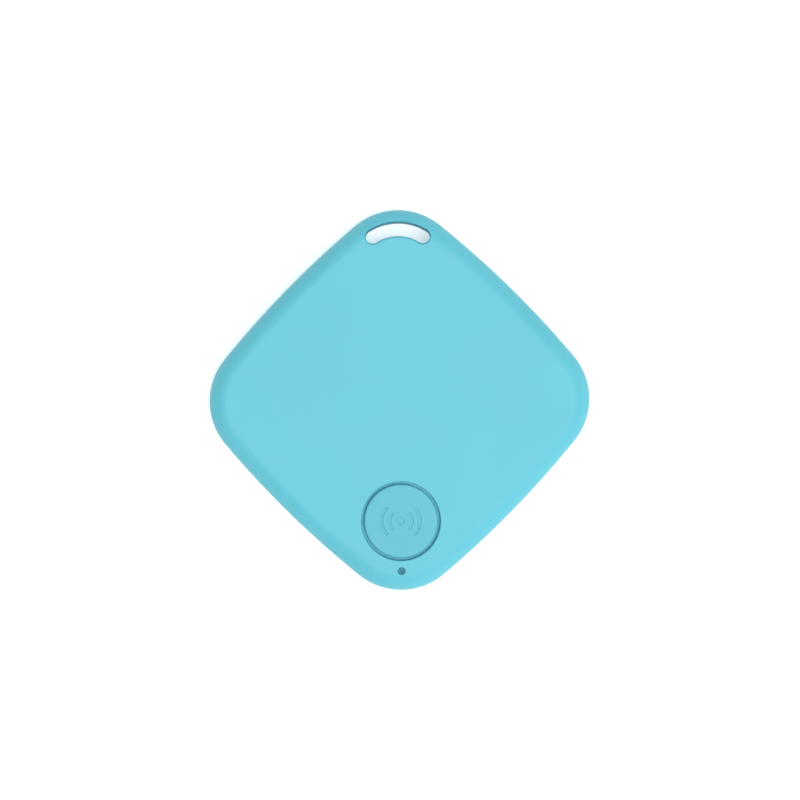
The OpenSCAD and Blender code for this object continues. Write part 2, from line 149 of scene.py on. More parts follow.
# %% [markdown]
# ## Stacks of outlines
# Cutters with straight walls need no node tree. A stack of outlines, each with its height,
# is enough: neighbouring outlines are joined by four-sided faces, and the two ends are
# closed by one face each.

# %% Stacks
def show(name, mesh):
    """An object at the origin that holds the mesh."""
    obj = bpy.data.objects.new(name.replace(" ", "_"), mesh)
    bpy.context.scene.collection.objects.link(obj)
    return obj


def stack(name, rings):
    """A closed mesh through rings of (outline, height), from the lowest ring to the highest."""
    count = len(rings[0][0])
    verts = [(x * MM, y * MM, z * MM) for outline, z in rings for x, y in outline]
    faces = [list(range(count))[::-1]]
    for level in range(len(rings) - 1):
        base = level * count
        for i in range(count):
            j = (i + 1) % count
            faces.append([base + i, base + j, base + count + j, base + count + i])
    faces.append(list(range((len(rings) - 1) * count, len(rings) * count)))
    mesh = bpy.data.meshes.new(name)
    mesh.from_pydata(verts, [], faces)
    return show(name, mesh)


# %% [markdown]
# ## Making a modifier final
# Modifiers stay live in Blender until they are applied. An export and a Boolean both need
# the plain result, so one helper evaluates the object and keeps only the mesh.

# %% Bake
def bake(obj):
    """Replaces the object's mesh by its modified one, and clears the modifiers."""
    bpy.context.view_layer.update()
    evaluated = obj.evaluated_get(bpy.context.evaluated_depsgraph_get())
    mesh = bpy.data.meshes.new_from_object(evaluated)
    obj.modifiers.clear()
    obj.data = mesh
    return obj


# %% [markdown]
# ## Helpers for node trees
# A node tree can be drawn by hand in the editor or written as code. Code is longer, but it
# can be read and repeated. These helpers add one node at a time, link it and name the
# tree's inputs. A mode is set before the inputs, because some inputs exist only in a mode.

# %% Node helpers
def new_tree(name):
    tree = bpy.data.node_groups.new(name, "GeometryNodeTree")
    tree.interface.new_socket(name="Geometry", in_out="INPUT", socket_type="NodeSocketGeometry")
    tree.interface.new_socket(name="Geometry", in_out="OUTPUT", socket_type="NodeSocketGeometry")
    return tree


def add_input(tree, name, kind="Float"):
    """A named input on the tree. Returns its identifier, which sets it on a modifier."""
    return tree.interface.new_socket(name=name, in_out="INPUT", socket_type="NodeSocket" + kind).identifier


def plug(tree, source, target):
    """Links an output to an input, or sets the input to a plain value."""
    if isinstance(source, bpy.types.NodeSocket):
        tree.links.new(source, target)
    else:
        target.default_value = source


def sums(tree, operation, *values):
    """A Math node. Returns its output."""
    node = tree.nodes.new("ShaderNodeMath")
    node.operation = operation
    for value, target in zip(values, node.inputs):
        plug(tree, value, target)
    return node.outputs[0]


def chain(tree, kind, first, second, mode=None, **values):
    """Adds a node whose input named first takes the socket second. Returns the node."""
    node = tree.nodes.new(kind)
    if mode:
        node.mode = mode
    plug(tree, second, node.inputs[first])
    for name, value in values.items():
        plug(tree, value, node.inputs[name.replace("_", " ")])
    return node


def finish_tree(tree, geometry, material):
    """Makes copies real, sets the material and ends the tree."""
    real = chain(tree, "GeometryNodeRealizeInstances", "Geometry", geometry)
    paint = chain(tree, "GeometryNodeSetMaterial", "Geometry", real.outputs["Geometry"], Material=material)
    end = tree.nodes.new("NodeGroupOutput")
    tree.links.new(paint.outputs["Geometry"], end.inputs["Geometry"])


def run_tree(obj, tree, values):
    """Sets the tree's inputs by identifier, and turns its result into a plain mesh."""
    step = obj.modifiers.new(tree.name, "NODES")
    step.node_group = tree
    for identifier, value in values.items():
        step[identifier] = value
    return bake(obj)


# %% [markdown]
# ## The case's rule as a node tree
# The case, the cavity in it, the tongue and the board all follow the outline. One Geometry
# Nodes tree makes them. It draws the section of the edge, which is a quarter circle below
# and one above, and sweeps it round the outline. How far the section is set in, its two
# heights and its two radii are the tree's inputs, so one tree serves every such shape.
# Swept round a Z-up outline, the section comes out half a turn round, so both its axes are
# negated.

# %% Case tree
def case_tree():
    tree = new_tree("Case level")
    ids = {name: add_input(tree, name) for name in ("Inset", "Bottom", "Top", "Bottom edge", "Top edge")}
    ids["Material"] = add_input(tree, "Material", "Material")
    start = tree.nodes.new("NodeGroupInput")
    size = {name: start.outputs[name] for name in ids}
    line = tree.nodes.new("GeometryNodeMeshLine")
    line.inputs["Count"].default_value = 2 * EDGE_STEPS + 2
    index = tree.nodes.new("GeometryNodeInputIndex").outputs["Index"]
    upper = sums(tree, "GREATER_THAN", index, EDGE_STEPS + 0.5)
    lower = sums(tree, "SUBTRACT", 1.0, upper)
    step = sums(tree, "SUBTRACT", index, sums(tree, "MULTIPLY", upper, EDGE_STEPS + 1.0))
    rising = sums(tree, "MULTIPLY", step, math.pi / 2 / EDGE_STEPS)
    falling = sums(tree, "SUBTRACT", math.pi / 2, rising)
    angle = sums(tree, "ADD", sums(tree, "MULTIPLY", lower, rising), sums(tree, "MULTIPLY", upper, falling))
    radius = sums(tree, "ADD", sums(tree, "MULTIPLY", lower, size["Bottom edge"]),
                  sums(tree, "MULTIPLY", upper, size["Top edge"]))
    inwards = sums(tree, "MULTIPLY", radius, sums(tree, "SUBTRACT", 1.0, sums(tree, "SINE", angle)))
    onwards = sums(tree, "MULTIPLY", radius, sums(tree, "SUBTRACT", 1.0, sums(tree, "COSINE", angle)))
    height = sums(tree, "ADD",
                  sums(tree, "MULTIPLY", lower, sums(tree, "ADD", size["Bottom"], onwards)),
                  sums(tree, "MULTIPLY", upper, sums(tree, "SUBTRACT", size["Top"], onwards)))
    place = tree.nodes.new("ShaderNodeCombineXYZ")
    plug(tree, sums(tree, "MULTIPLY", sums(tree, "ADD", size["Inset"], inwards), -1.0), place.inputs["X"])
    plug(tree, sums(tree, "MULTIPLY", height, -1.0), place.inputs["Y"])
    section = chain(tree, "GeometryNodeSetPosition", "Geometry", line.outputs["Mesh"],
                    Position=place.outputs["Vector"])
    section = chain(tree, "GeometryNodeMeshToCurve", "Mesh", section.outputs["Geometry"])
    outline = chain(tree, "GeometryNodeMeshToCurve", "Mesh", start.outputs["Geometry"])
    outline = chain(tree, "GeometryNodeSetCurveNormal", "Curve", outline.outputs["Curve"], "Z_UP")
    sweep = chain(tree, "GeometryNodeCurveToMesh", "Curve", outline.outputs["Curve"],
                  Profile_Curve=section.outputs["Curve"])
    merged = chain(tree, "GeometryNodeMergeByDistance", "Geometry", sweep.outputs["Mesh"],
                   Distance=0.001 * MM)
    finish_tree(tree, merged.outputs["Geometry"], size["Material"])
    return tree, ids


CASE_TREE, CASE_IDS = case_tree()
print("case tree inputs:", ", ".join(CASE_IDS))

# %% [markdown]
# ## Pebbles
# A pebble is one run of the tree, with its flat top and bottom filled in. The covers, their
# cavities, the tongue and the board are all pebbles of different sizes.

# %% Pebbles
def pebble(name, inset, z0, z1, e0=0.0, e1=0.0):
    """The case's shape set in by inset, with round edges of radius e0 below and e1 above."""
    points = [(x * MM, y * MM, 0) for x, y in case_outline()]
    edges = [(i, (i + 1) % len(points)) for i in range(len(points))]
    mesh = bpy.data.meshes.new(name)
    mesh.from_pydata(points, edges, [])
    sizes_mm = {"Inset": inset, "Bottom": z0, "Top": z1, "Bottom edge": e0, "Top edge": e1}
    wall = run_tree(show(name, mesh), CASE_TREE, {CASE_IDS[n]: v * MM for n, v in sizes_mm.items()})
    shape = bmesh.new()
    shape.from_mesh(wall.data)
    open_edges = [edge for edge in shape.edges if edge.is_boundary]
    bmesh.ops.holes_fill(shape, edges=open_edges, sides=0)
    bmesh.ops.recalc_face_normals(shape, faces=shape.faces)
    shape.to_mesh(wall.data)
    shape.free()
    return wall


# %% [markdown]
# ## Cutting and joining
# Holes, bosses and slots are cut and joined with exact Booleans, as a mould maker would
# think of them: add a core, take a core away. The fast solver is quicker, but the exact one
# copes with faces that nearly touch.

# %% Booleans
def combine(target, tool, operation):
    """Joins or cuts target with tool, and removes the tool."""
    step = target.modifiers.new("combine", "BOOLEAN")
    step.operation = operation
    step.solver = "EXACT"
    step.object = tool
    bake(target)
    bpy.data.objects.remove(tool)
    return target


def cut(target, *tools):
    for tool in tools:
        combine(target, tool, "DIFFERENCE")
    return target


def join(target, *tools):
    for tool in tools:
        combine(target, tool, "UNION")
    return target


# %% [markdown]
# ## Turned pieces and blocks
# Round pieces are turned from a half section of radius and height, like on a lathe. The
# Screw modifier could do it too, but plain rings keep the faces in a known order. A block
# stands on its base and can be turned about its upright middle.

# %% Lathe, rods and blocks
FACETS = 96


def lathe(name, section, centre=(0.0, 0.0), facets=FACETS):
    """A solid turned from a half section of (radius, height) points, from the bottom up."""
    rings = [(r, z) for r, z in section if r > 0]
    verts, faces = [], []
    for r, z in rings:
        for i in range(facets):
            x, y = around(centre, r, 2 * math.pi * i / facets)
            verts.append((x * MM, y * MM, z * MM))
    for k in range(len(rings) - 1):
        for i in range(facets):
            j = (i + 1) % facets
            low, high = k * facets, (k + 1) * facets
            faces.append([low + i, low + j, high + j, high + i])
    last = (len(rings) - 1) * facets
    faces.append(list(range(facets))[::-1])
    faces.append(list(range(last, last + facets)))
    mesh = bpy.data.meshes.new(name)
    mesh.from_pydata(verts, [], faces)
    return show(name, mesh)


def rod(name, radius, z0, z1, centre=(0.0, 0.0), facets=FACETS):
    return lathe(name, [(radius, z0), (radius, z1)], centre, facets)


def tube(name, inner, outer, z0, z1, centre=(0.0, 0.0), facets=FACETS):
    ring = rod(name, outer, z0, z1, centre, facets)
    return cut(ring, rod("bore", inner, z0 - 1, z1 + 1, centre, facets))


def block(name, size, base, turn=0.0):
    """A box of that size, standing on base, turned about its own upright middle."""
    w, d, h = (s * MM for s in size)
    mesh = bpy.data.meshes.new(name)
    shape = bmesh.new()
    bmesh.ops.create_cube(shape, size=1.0)
    place = (Matrix.Translation(Vector(base) * MM) @ Matrix.Rotation(math.radians(turn), 4, "Z")
             @ Matrix.Translation((0, 0, h / 2)) @ Matrix.Diagonal((w, d, h, 1)))
    shape.transform(place)
    shape.to_mesh(mesh)
    shape.free()
    return show(name, mesh)


# %% [markdown]
# ## Softened edges and clean meshes
# No real edge is razor sharp, so small parts get a fine bevel that catches the light. After
# the last cut, doubles are merged, normals are turned outwards and then weighted by face
# area, which keeps large flat faces flat under soft light. At the end a piece is settled:
# it gets its finish, its body and the CAD pieces that it stands for.

# %% Bevels, clean-up and settling
DOUBLES = 0.0005 * MM


def soften(obj, width, segments=2, angle=40):
    """A small rounded bevel on the sharp edges."""
    step = obj.modifiers.new("soften", "BEVEL")
    step.width = width * MM
    step.segments = segments
    step.limit_method = "ANGLE"
    step.angle_limit = math.radians(angle)
    step.harden_normals = False
    return bake(obj)


def clean(obj, sharp=35):
    """Merged doubles, normals outwards, smooth shading with sharp edges kept sharp."""
    shape = bmesh.new()
    shape.from_mesh(obj.data)
    bmesh.ops.remove_doubles(shape, verts=shape.verts, dist=DOUBLES)
    bmesh.ops.dissolve_degenerate(shape, edges=shape.edges, dist=DOUBLES)
    bmesh.ops.recalc_face_normals(shape, faces=shape.faces)
    shape.to_mesh(obj.data)
    shape.free()
    for face in obj.data.polygons:
        face.use_smooth = True
    obj.data.set_sharp_from_angle(angle=math.radians(sharp))
    step = obj.modifiers.new("weight", "WEIGHTED_NORMAL")
    step.keep_sharp = True
    return bake(obj)


def settle(obj, body, material, slot, *nodes):
    """Gives a finished piece its material, its body and the CAD pieces it stands for. slot is not used."""
    obj.data.materials.clear()
    obj.data.materials.append(material)
    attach(obj, body)
    if nodes:
        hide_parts(*nodes)
    print(f"{obj.name}: {len(obj.data.polygons)} faces on {body}")
    return obj


# %% [markdown]
# ## Finishes
# Every finish is a Principled shader with a little noise. Moulded plastic has a fine
# sparked texture from the mould, so its noise is a bump of a few thousandths of a
# millimetre. Sheet metal is rolled, so its noise is stretched one way. The noise reads
# Object coordinates, which stay put on the piece in every pose and view.

# %% Material helpers
def new_material(name, colour, roughness, metallic=0.0, coat=0.0):
    material = bpy.data.materials.new(name)
    material.use_nodes = True
    shader = material.node_tree.nodes["Principled BSDF"]
    shader.inputs["Base Color"].default_value = (*colour, 1)
    shader.inputs["Roughness"].default_value = roughness
    shader.inputs["Metallic"].default_value = metallic
    shader.inputs["Coat Weight"].default_value = coat
    return material


def add_noise(material, scale, stretch=(1, 1, 1), detail=3.0):
    """A noise texture on Object coordinates, with its own mapping."""
    nodes, links = material.node_tree.nodes, material.node_tree.links
    where = nodes.new("ShaderNodeTexCoord")
    mapping = nodes.new("ShaderNodeMapping")
    mapping.inputs["Scale"].default_value = stretch
    noise = nodes.new("ShaderNodeTexNoise")
    noise.inputs["Scale"].default_value = scale
    noise.inputs["Detail"].default_value = detail
    links.new(where.outputs["Object"], mapping.inputs["Vector"])
    links.new(mapping.outputs["Vector"], noise.inputs["Vector"])
    return noise


def add_bump(material, noise, height, strength=1.0):
    """Noise as relief. height is in millimetres."""
    nodes, links = material.node_tree.nodes, material.node_tree.links
    bump = nodes.new("ShaderNodeBump")
    bump.inputs["Strength"].default_value = strength
    bump.inputs["Distance"].default_value = height * MM
    links.new(noise.outputs["Fac"], bump.inputs["Height"])
    links.new(bump.outputs["Normal"], nodes["Principled BSDF"].inputs["Normal"])


def add_mottle(material, noise, colour, share):
    """The colour varies by share, up and down, with the noise."""
    nodes, links = material.node_tree.nodes, material.node_tree.links
    ramp = nodes.new("ShaderNodeValToRGB")
    ramp.color_ramp.elements[0].position = 0.3
    ramp.color_ramp.elements[1].position = 0.7
    ramp.color_ramp.elements[0].color = (*(c * (1 - share) for c in colour), 1)
    ramp.color_ramp.elements[1].color = (*(min(1, c * (1 + share)) for c in colour), 1)
    links.new(noise.outputs["Fac"], ramp.inputs["Fac"])
    links.new(ramp.outputs["Color"], nodes["Principled BSDF"].inputs["Base Color"])


def add_gloss(material, noise, low, high):
    """The roughness varies from low to high with the noise."""
    nodes, links = material.node_tree.nodes, material.node_tree.links
    spread = nodes.new("ShaderNodeMapRange")
    spread.inputs["From Min"].default_value = 0.3
    spread.inputs["From Max"].default_value = 0.7
    spread.inputs["To Min"].default_value = low
    spread.inputs["To Max"].default_value = high
    links.new(noise.outputs["Fac"], spread.inputs["Value"])
    links.new(spread.outputs["Result"], nodes["Principled BSDF"].inputs["Roughness"])


# %% [markdown]
# ### Plastic and metal
# Most finishes here are one of two kinds. Plastic has a fine relief and a very slight change
# of colour over a wider distance. Metal has no such clouds, but its gloss changes along the
# grain. Two functions hold these rules, so a finish only gives its own numbers.

# %% Plastic and metal
SHINE = 0.4
CLOUD_SCALE = 90


def plastic(name, colour, roughness=0.45, grain=7000, relief=0.004, share=0.02, coat=0.0):
    material = new_material(name, colour, roughness, coat=coat)
    material.node_tree.nodes["Principled BSDF"].inputs["Specular IOR Level"].default_value = SHINE
    add_bump(material, add_noise(material, grain), relief)
    add_mottle(material, add_noise(material, CLOUD_SCALE, detail=2.0), colour, share)
    return material


def metal(name, colour, roughness=0.3, grain=1500, stretch=(1, 14, 1), relief=0.0006):
    material = new_material(name, colour, roughness, metallic=1.0)
    noise = add_noise(material, grain, stretch)
    add_bump(material, noise, relief, 0.5)
    add_gloss(material, noise, roughness * 0.8, roughness * 1.2)
    return material


# %% [markdown]
# ## The finishes of this tag
# The case is turquoise plastic with a fine matt texture, and the button is the same plastic
# a shade darker. Inside are black moulded plastic, ceramic, foam and tape. The metals differ
# mostly by colour: steel is grey, bronze and brass are yellow, and wire is red copper. Each
# finish is one call, so their differences can be read side by side.

# %% The finishes of this tag
case_plastic = plastic("Turquoise case plastic", (0.122, 0.54, 0.65), 0.55)
button_plastic = plastic("Turquoise button plastic", (0.114, 0.5, 0.61), 0.58)
pipe_plastic = plastic("Light pipe plastic", (0.028, 0.22, 0.29), 0.6, relief=0.0005)
black_plastic = plastic("Black holder plastic", (0.016, 0.017, 0.019), 0.5)
switch_plastic = plastic("Switch plunger nylon", (0.78, 0.73, 0.63), 0.4)
gasket_plastic = plastic("Cell sealing ring", (0.03, 0.032, 0.036), 0.55)
chip_plastic = plastic("Moulded chip epoxy", (0.014, 0.015, 0.017), 0.5, grain=9000, relief=0.006)
ferrite_grey = plastic("Ferrite", (0.045, 0.046, 0.05), 0.6, grain=5000, relief=0.008, share=0.15)
ceramic_tan = plastic("Capacitor ceramic", (0.47, 0.3, 0.16), 0.45, share=0.08)
resistor_glass = plastic("Resistor glaze", (0.014, 0.015, 0.018), 0.22, relief=0.001, coat=0.5)
foam_black = plastic("Closed-cell foam", (0.03, 0.032, 0.035), 0.95, grain=3500, relief=0.05, share=0.3)
tape_white = plastic("Adhesive tape", (0.72, 0.68, 0.55), 0.6, grain=1500, relief=0.01, share=0.06)
sounder_ceramic = plastic("Silvered ceramic", (0.62, 0.62, 0.6), 0.38, grain=4000, relief=0.003, share=0.05)
lamp_resin = plastic("Lamp resin", (0.88, 0.8, 0.5), 0.25, relief=0.001, share=0.02, coat=0.4)
lamp_body = plastic("Lamp base", (0.86, 0.85, 0.8), 0.4)
board_core = plastic("Glass-epoxy edge", (0.42, 0.38, 0.22), 0.6, grain=3000, relief=0.01, share=0.12)

nickel_steel = metal("Nickel-plated steel", (0.5, 0.5, 0.49), 0.28)
cell_steel = metal("Cell can steel", (0.4, 0.41, 0.42), 0.32, stretch=(14, 1, 1), relief=0.0004)
cell_mark = metal("Etched cell mark", (0.12, 0.12, 0.12), 0.6, stretch=(1, 1, 1))
spring_steel = metal("Stainless spring steel", (0.45, 0.45, 0.44), 0.28)
tinned_metal = metal("Tinned metal", (0.55, 0.55, 0.54), 0.36, grain=1800, stretch=(1, 1, 1), relief=0.004)
contact_bronze = metal("Gold-flashed bronze", (0.83, 0.64, 0.32), 0.25)
gold_copper = metal("Gold-flashed copper", (0.85, 0.6, 0.28), 0.3, stretch=(1, 1, 1))
sounder_brass = metal("Sounder brass", (0.74, 0.52, 0.2), 0.3)
wire_copper = metal("Enamelled copper wire", (0.72, 0.32, 0.14), 0.3, stretch=(1, 1, 1))

print("finishes:", len(bpy.data.materials))

# %% [markdown]
# ## The slot and its softened rim
# The key-ring slot is an arc about the corner's centre, with round ends. A key ring must
# slide in it without a sharp edge, so the mould gives its rim a small radius. The cutter
# flares out along a quarter circle at both faces, and what it leaves is that radius.

# %% Slot cutter
SLOT_W = 1.75
SLOT_RIM = 1.45
SLOT_MIDDLE_R = CORNER_R - SLOT_RIM - SLOT_W / 2
SLOT_ANGLE = math.radians(32)
SLOT_STEPS = 20
SLOT_BOSS = 1.1
RIM_R = 0.28
RIM_STEPS = 6
OVERSHOOT = 0.5


def slot_outline(grow):
    half = SLOT_W / 2 + grow
    up = math.pi / 2
    middle = (0, CORNER_Y)
    left = around(middle, SLOT_MIDDLE_R, up + SLOT_ANGLE)
    right = around(middle, SLOT_MIDDLE_R, up - SLOT_ANGLE)
    sweep = [SLOT_ANGLE * (2 * i / SLOT_STEPS - 1) for i in range(SLOT_STEPS + 1)]
    ends = [math.pi * i / SLOT_STEPS for i in range(1, SLOT_STEPS)]
    points = [around(middle, SLOT_MIDDLE_R + half, up + a) for a in sweep]
    points += [around(left, half, up + SLOT_ANGLE + a) for a in ends]
    points += [around(middle, SLOT_MIDDLE_R - half, up + a) for a in reversed(sweep)]
    points += [around(right, half, 3 * up - SLOT_ANGLE + a) for a in ends]
    return points


def slot_cutter():
    """The slot from face to face, flared by the rim's radius at both."""
    flare = []
    for i in range(RIM_STEPS + 1):
        angle = math.pi / 2 * i / RIM_STEPS
        flare.append((RIM_R * (1 - math.sin(angle)), RIM_R * (1 - math.cos(angle))))
    rings = [(slot_outline(RIM_R + 0.02), -OVERSHOOT)]
    rings += [(slot_outline(grow), height) for grow, height in flare]
    rings += [(slot_outline(grow), TOP - height) for grow, height in reversed(flare)]
    rings.append((slot_outline(RIM_R + 0.02), TOP + OVERSHOOT))
    return stack("slot cutter", rings)


def slot_boss(grow=0.0):
    outline = slot_outline(SLOT_BOSS + grow)
    return stack("slot boss", [(outline, -1), (outline, TOP + 1)])


slot_points = slot_outline(0)
slot_length = max(p[0] for p in slot_points) - min(p[0] for p in slot_points)
print(f"slot {slot_length:.2f} mm long and {SLOT_W} mm wide")

# %% [markdown]
# ## The front cover
# The front cover is one moulding: a shell with a rounded edge, a boss round the slot, a
# ring that guides the button, and a thin tongue that snaps into the rear cover. The shell
# is the outer pebble minus the cavity. The cavity keeps off the slot's boss, so the slot's
# walls are left standing when the slot is cut.

# %% Sizes of the front cover
BUTTON_Y = (button_low.y + button_high.y) / 2
BUTTON_R = 4.4
BUTTON_HOLE_R = BUTTON_R + 0.35
GUIDE_R = BUTTON_HOLE_R + 0.45
GUIDE_WALL = 0.7
GUIDE_DEPTH = 1.5
LIGHT_Y = (lamp_low.y + lamp_high.y) / 2
LIGHT_R = 0.45
PIPE_FOOT_R = 0.8
TONGUE_OUT = 0.7
TONGUE_LOW = front_low.z
SEAM_EDGE = 0.08
BEAD_R = 0.25
BEAD_LENGTH = 5.0
BEAD_OUT = 0.15
BEAD_DROP = 0.5
print(f"button hole {2 * BUTTON_HOLE_R:.1f} mm wide at y = {BUTTON_Y:.1f} mm")

# %% [markdown]
# ### Snap beads and the button guide
# Four beads on the tongue click into grooves in the rear cover's rim. Real beads are
# moulded with the tongue, so here they are short rods joined to it. The guide is a ring
# under the front wall, with slots for the button's two keys.

# %% Beads and guide
def snap_beads(radius, length):
    """Four small rods along the middle of the sides, just under the seam."""
    rods = []
    for turn in (45, 135, 225, 315):
        bar = rod("bead", radius, -length / 2, length / 2, facets=24)
        bar.data.transform(Matrix.Rotation(math.pi / 2, 4, "X"))
        out = (HALF_W - TONGUE_OUT + BEAD_OUT - BEAD_R) * MM
        bar.data.transform(Matrix.Translation((out, 0, (TONGUE_LOW + BEAD_DROP) * MM)))
        bar.data.transform(Matrix.Rotation(math.radians(turn), 4, "Z"))
        rods.append(bar)
    return rods


def button_guide():
    centre = (0, BUTTON_Y)
    low = CEILING - GUIDE_DEPTH
    guide = tube("guide", GUIDE_R, GUIDE_R + GUIDE_WALL, low, CEILING + 0.2, centre)
    key_slot = block("key slot", (2 * GUIDE_R + 4, 1.6, GUIDE_DEPTH + 1.5), (0, BUTTON_Y, low - 1))
    pipe_room = rod("pipe room", PIPE_FOOT_R + 0.2, low - 1, CEILING + 0.5, (0, LIGHT_Y))
    return cut(guide, key_slot, pipe_room)


# %% [markdown]
# ### The shell, put together
# The shell and tongue are pebbles. The hole for the button and the one for the light are
# turned cutters that widen at the face, because a moulded hole has a small round lip.

# %% Front shell
HOLE_LIP = 0.12
LIP_STEPS = 5
LIGHT_LIP = 0.06


def make_front_cover():
    shell = pebble("Front cover", 0, SEAM + SEAM_GAP, TOP, SEAM_EDGE, EDGE_R)
    cavity = pebble("cavity", SIDE_WALL, 0, CEILING, 0, EDGE_R - SIDE_WALL)
    cut(shell, cut(cavity, slot_boss()))
    tongue = pebble("tongue", TONGUE_OUT, TONGUE_LOW, SEAM + 0.3)
    cut(tongue, pebble("tongue bore", SIDE_WALL - 0.01, 0, SEAM + 1), slot_boss(0.05))
    join(tongue, *snap_beads(BEAD_R, BEAD_LENGTH))
    join(shell, tongue, button_guide())
    hole = [(BUTTON_HOLE_R, CEILING - 0.2), (BUTTON_HOLE_R, TOP - HOLE_LIP)]
    for i in range(1, LIP_STEPS + 1):
        angle = math.pi / 2 * i / LIP_STEPS
        out = HOLE_LIP * (1 - math.cos(angle))
        hole.append((BUTTON_HOLE_R + out, TOP - HOLE_LIP + HOLE_LIP * math.sin(angle)))
    hole.append((BUTTON_HOLE_R + HOLE_LIP, TOP + OVERSHOOT))
    wide = LIGHT_R + LIGHT_LIP
    light = [(LIGHT_R, CEILING - 1), (LIGHT_R, TOP - LIGHT_LIP), (wide, TOP), (wide, TOP + OVERSHOOT)]
    cut(shell, slot_cutter(), lathe("hole", hole, (0, BUTTON_Y)))
    cut(shell, lathe("light", light, (0, LIGHT_Y), 48))
    return clean(shell)


settle(make_front_cover(), "cover", case_plastic, "case_plastic", "front_cover")

# %% [markdown]
# ## The rear cover
# The rear cover is a shallow tray. Its rim has a step for the front cover's tongue, with
# four grooves that the beads snap into. Bosses carry the board, and a small notch at the
# bottom corner takes a coin or a fingernail to prise the covers apart. A sunk arrow on the
# back points at the notch.

# %% Rear shell
SCREWS = [(-9.4, 12.6), (9.4, 12.6), (-6.6, -15.2)]
POST = (6.6, -15.2)
BOSS_R = 1.7
SCREW_R = 0.7
NOTCH = (5.0, 1.5, 1.6)
NOTCH_LOW = SEAM - 0.6
ARROW_Y = LIGHT_Y + 1.2
ARROW_W = 1.1
ARROW_L = 1.5
ARROW_DEPTH = 0.15


def make_rear_cover():
    shell = pebble("Rear cover", 0, 0, SEAM, EDGE_R, SEAM_EDGE)
    cavity = pebble("cavity", SIDE_WALL, REAR_WALL, SEAM + 1, EDGE_R - SIDE_WALL, 0)
    rebate = pebble("rebate", TONGUE_OUT - 0.05, TONGUE_LOW - 0.05, SEAM + 1)
    cut(shell, cut(cavity, slot_boss()), cut(rebate, slot_boss()))
    low = REAR_WALL - 0.2
    for place in SCREWS + [POST, (0, BUTTON_Y)]:
        join(shell, rod("boss", BOSS_R, low, BOARD_BOTTOM, place, 48))
    join(shell, lathe("post", [(0.8, low), (0.8, BOARD_TOP + 0.25), (0.65, BOARD_TOP + 0.4)], POST, 48))
    for place in SCREWS:
        cut(shell, rod("screw hole", SCREW_R + 0.02, BOARD_BOTTOM - 1.15, BOARD_BOTTOM + 1, place, 32))
    cut(shell, slot_cutter(), *snap_beads(BEAD_R + 0.05, BEAD_LENGTH + 0.4))
    cut(shell, block("notch", NOTCH, (0, -TIP, NOTCH_LOW)))
    arrow = [(-ARROW_W, ARROW_Y), (0, ARROW_Y - ARROW_L), (ARROW_W, ARROW_Y)]
    cut(shell, stack("arrow", [(arrow, -OVERSHOOT), (arrow, ARROW_DEPTH)]))
    return clean(shell)


settle(make_rear_cover(), "base", case_plastic, "case_plastic", "rear_cover")

# %% [markdown]
# ## The button
# The button is a cap that floats in its hole. A flange under the wall keeps it from
# falling out, two keys stop it from turning, and a stem presses the switch. Its face is
# turned on the lathe with a small radius and a very slight dish for the fingertip. The
# sunk sign on it is a plain dot between two pairs of sound waves.

# %% Button cap and its sign
FLANGE_TOP = CEILING - 0.02
FLANGE_T = 0.6
FLANGE_R = BUTTON_HOLE_R + 0.25
KEY_W = 1.2
STEM_R = 1.2
STEM_LOW = button_low.z
SIGN_DEPTH = 0.12
SIGN_LINE = 0.36
DISH = 0.05
CAP_EDGE = 0.2


def wave_outline(radius, width, facing, half_angle=math.radians(42), steps=16):
    """One arc of a sound wave with round ends, about the button's centre."""
    centre = (0, BUTTON_Y)
    start, end = facing - half_angle, facing + half_angle
    sweep = [(end - start) * i / steps for i in range(steps + 1)]
    points = [around(centre, radius + width / 2, start + a) for a in sweep]
    tip = around(centre, radius, end)
    points += [around(tip, width / 2, end + math.pi * i / 6) for i in range(1, 6)]
    points += [around(centre, radius - width / 2, end - a) for a in sweep]
    tip = around(centre, radius, start)
    points += [around(tip, width / 2, start + math.pi + math.pi * i / 6) for i in range(1, 6)]
    return points


def make_button():
    centre = (0, BUTTON_Y)
    section = [(FLANGE_R, FLANGE_TOP - FLANGE_T), (FLANGE_R, FLANGE_TOP), (BUTTON_R, FLANGE_TOP + 0.001)]
    for i in range(9):
        angle = math.pi / 2 * i / 8
        section.append((BUTTON_R - CAP_EDGE * (1 - math.cos(angle)), TOP - CAP_EDGE * (1 - math.sin(angle))))
    for i in range(1, 9):
        r = (BUTTON_R - CAP_EDGE) * (1 - i / 8) + 0.02
        section.append((r, TOP - DISH * math.sin(math.pi / 2 * i / 8) ** 2))
    cap = lathe("Button cap", section, centre)
    low = FLANGE_TOP - FLANGE_T
    keys = block("keys", (2 * (FLANGE_R + GUIDE_WALL), KEY_W, FLANGE_T), (0, BUTTON_Y, low))
    join(cap, keys)
    cut(cap, rod("pocket", BUTTON_R - 1, low - 1, low + 0.9, centre))
    join(cap, rod("stem", STEM_R, STEM_LOW, CEILING + 0.4, centre, 64))
    for turn in (0, 90):
        join(cap, block("rib", (2 * BUTTON_R - 1, 0.7, FLANGE_T + 0.4), (0, BUTTON_Y, low), turn))
    depth = TOP - DISH - SIGN_DEPTH
    cut(cap, lathe("dot", [(0.42, depth), (0.55, TOP + 0.2)], centre, 48))
    for facing in (0, math.pi):
        for radius in (1.35, 2.3):
            rings = [(wave_outline(radius, SIGN_LINE * 0.75, facing), depth),
                     (wave_outline(radius, SIGN_LINE * 1.15, facing), TOP + 0.1)]
            cut(cap, stack("wave", rings))
    return clean(cap)


settle(make_button(), "button", button_plastic, "case_plastic", "button_cap")

# %% [markdown]
# ## Repeats by Geometry Nodes
# The board carries many small parts that differ only in place and turn. A point cloud
# holds their places, and a node tree puts a copy of one shape on each point. The tree is
# built here once, with named inputs, and ends by making the copies real and setting the
# material, because an export would drop instances.

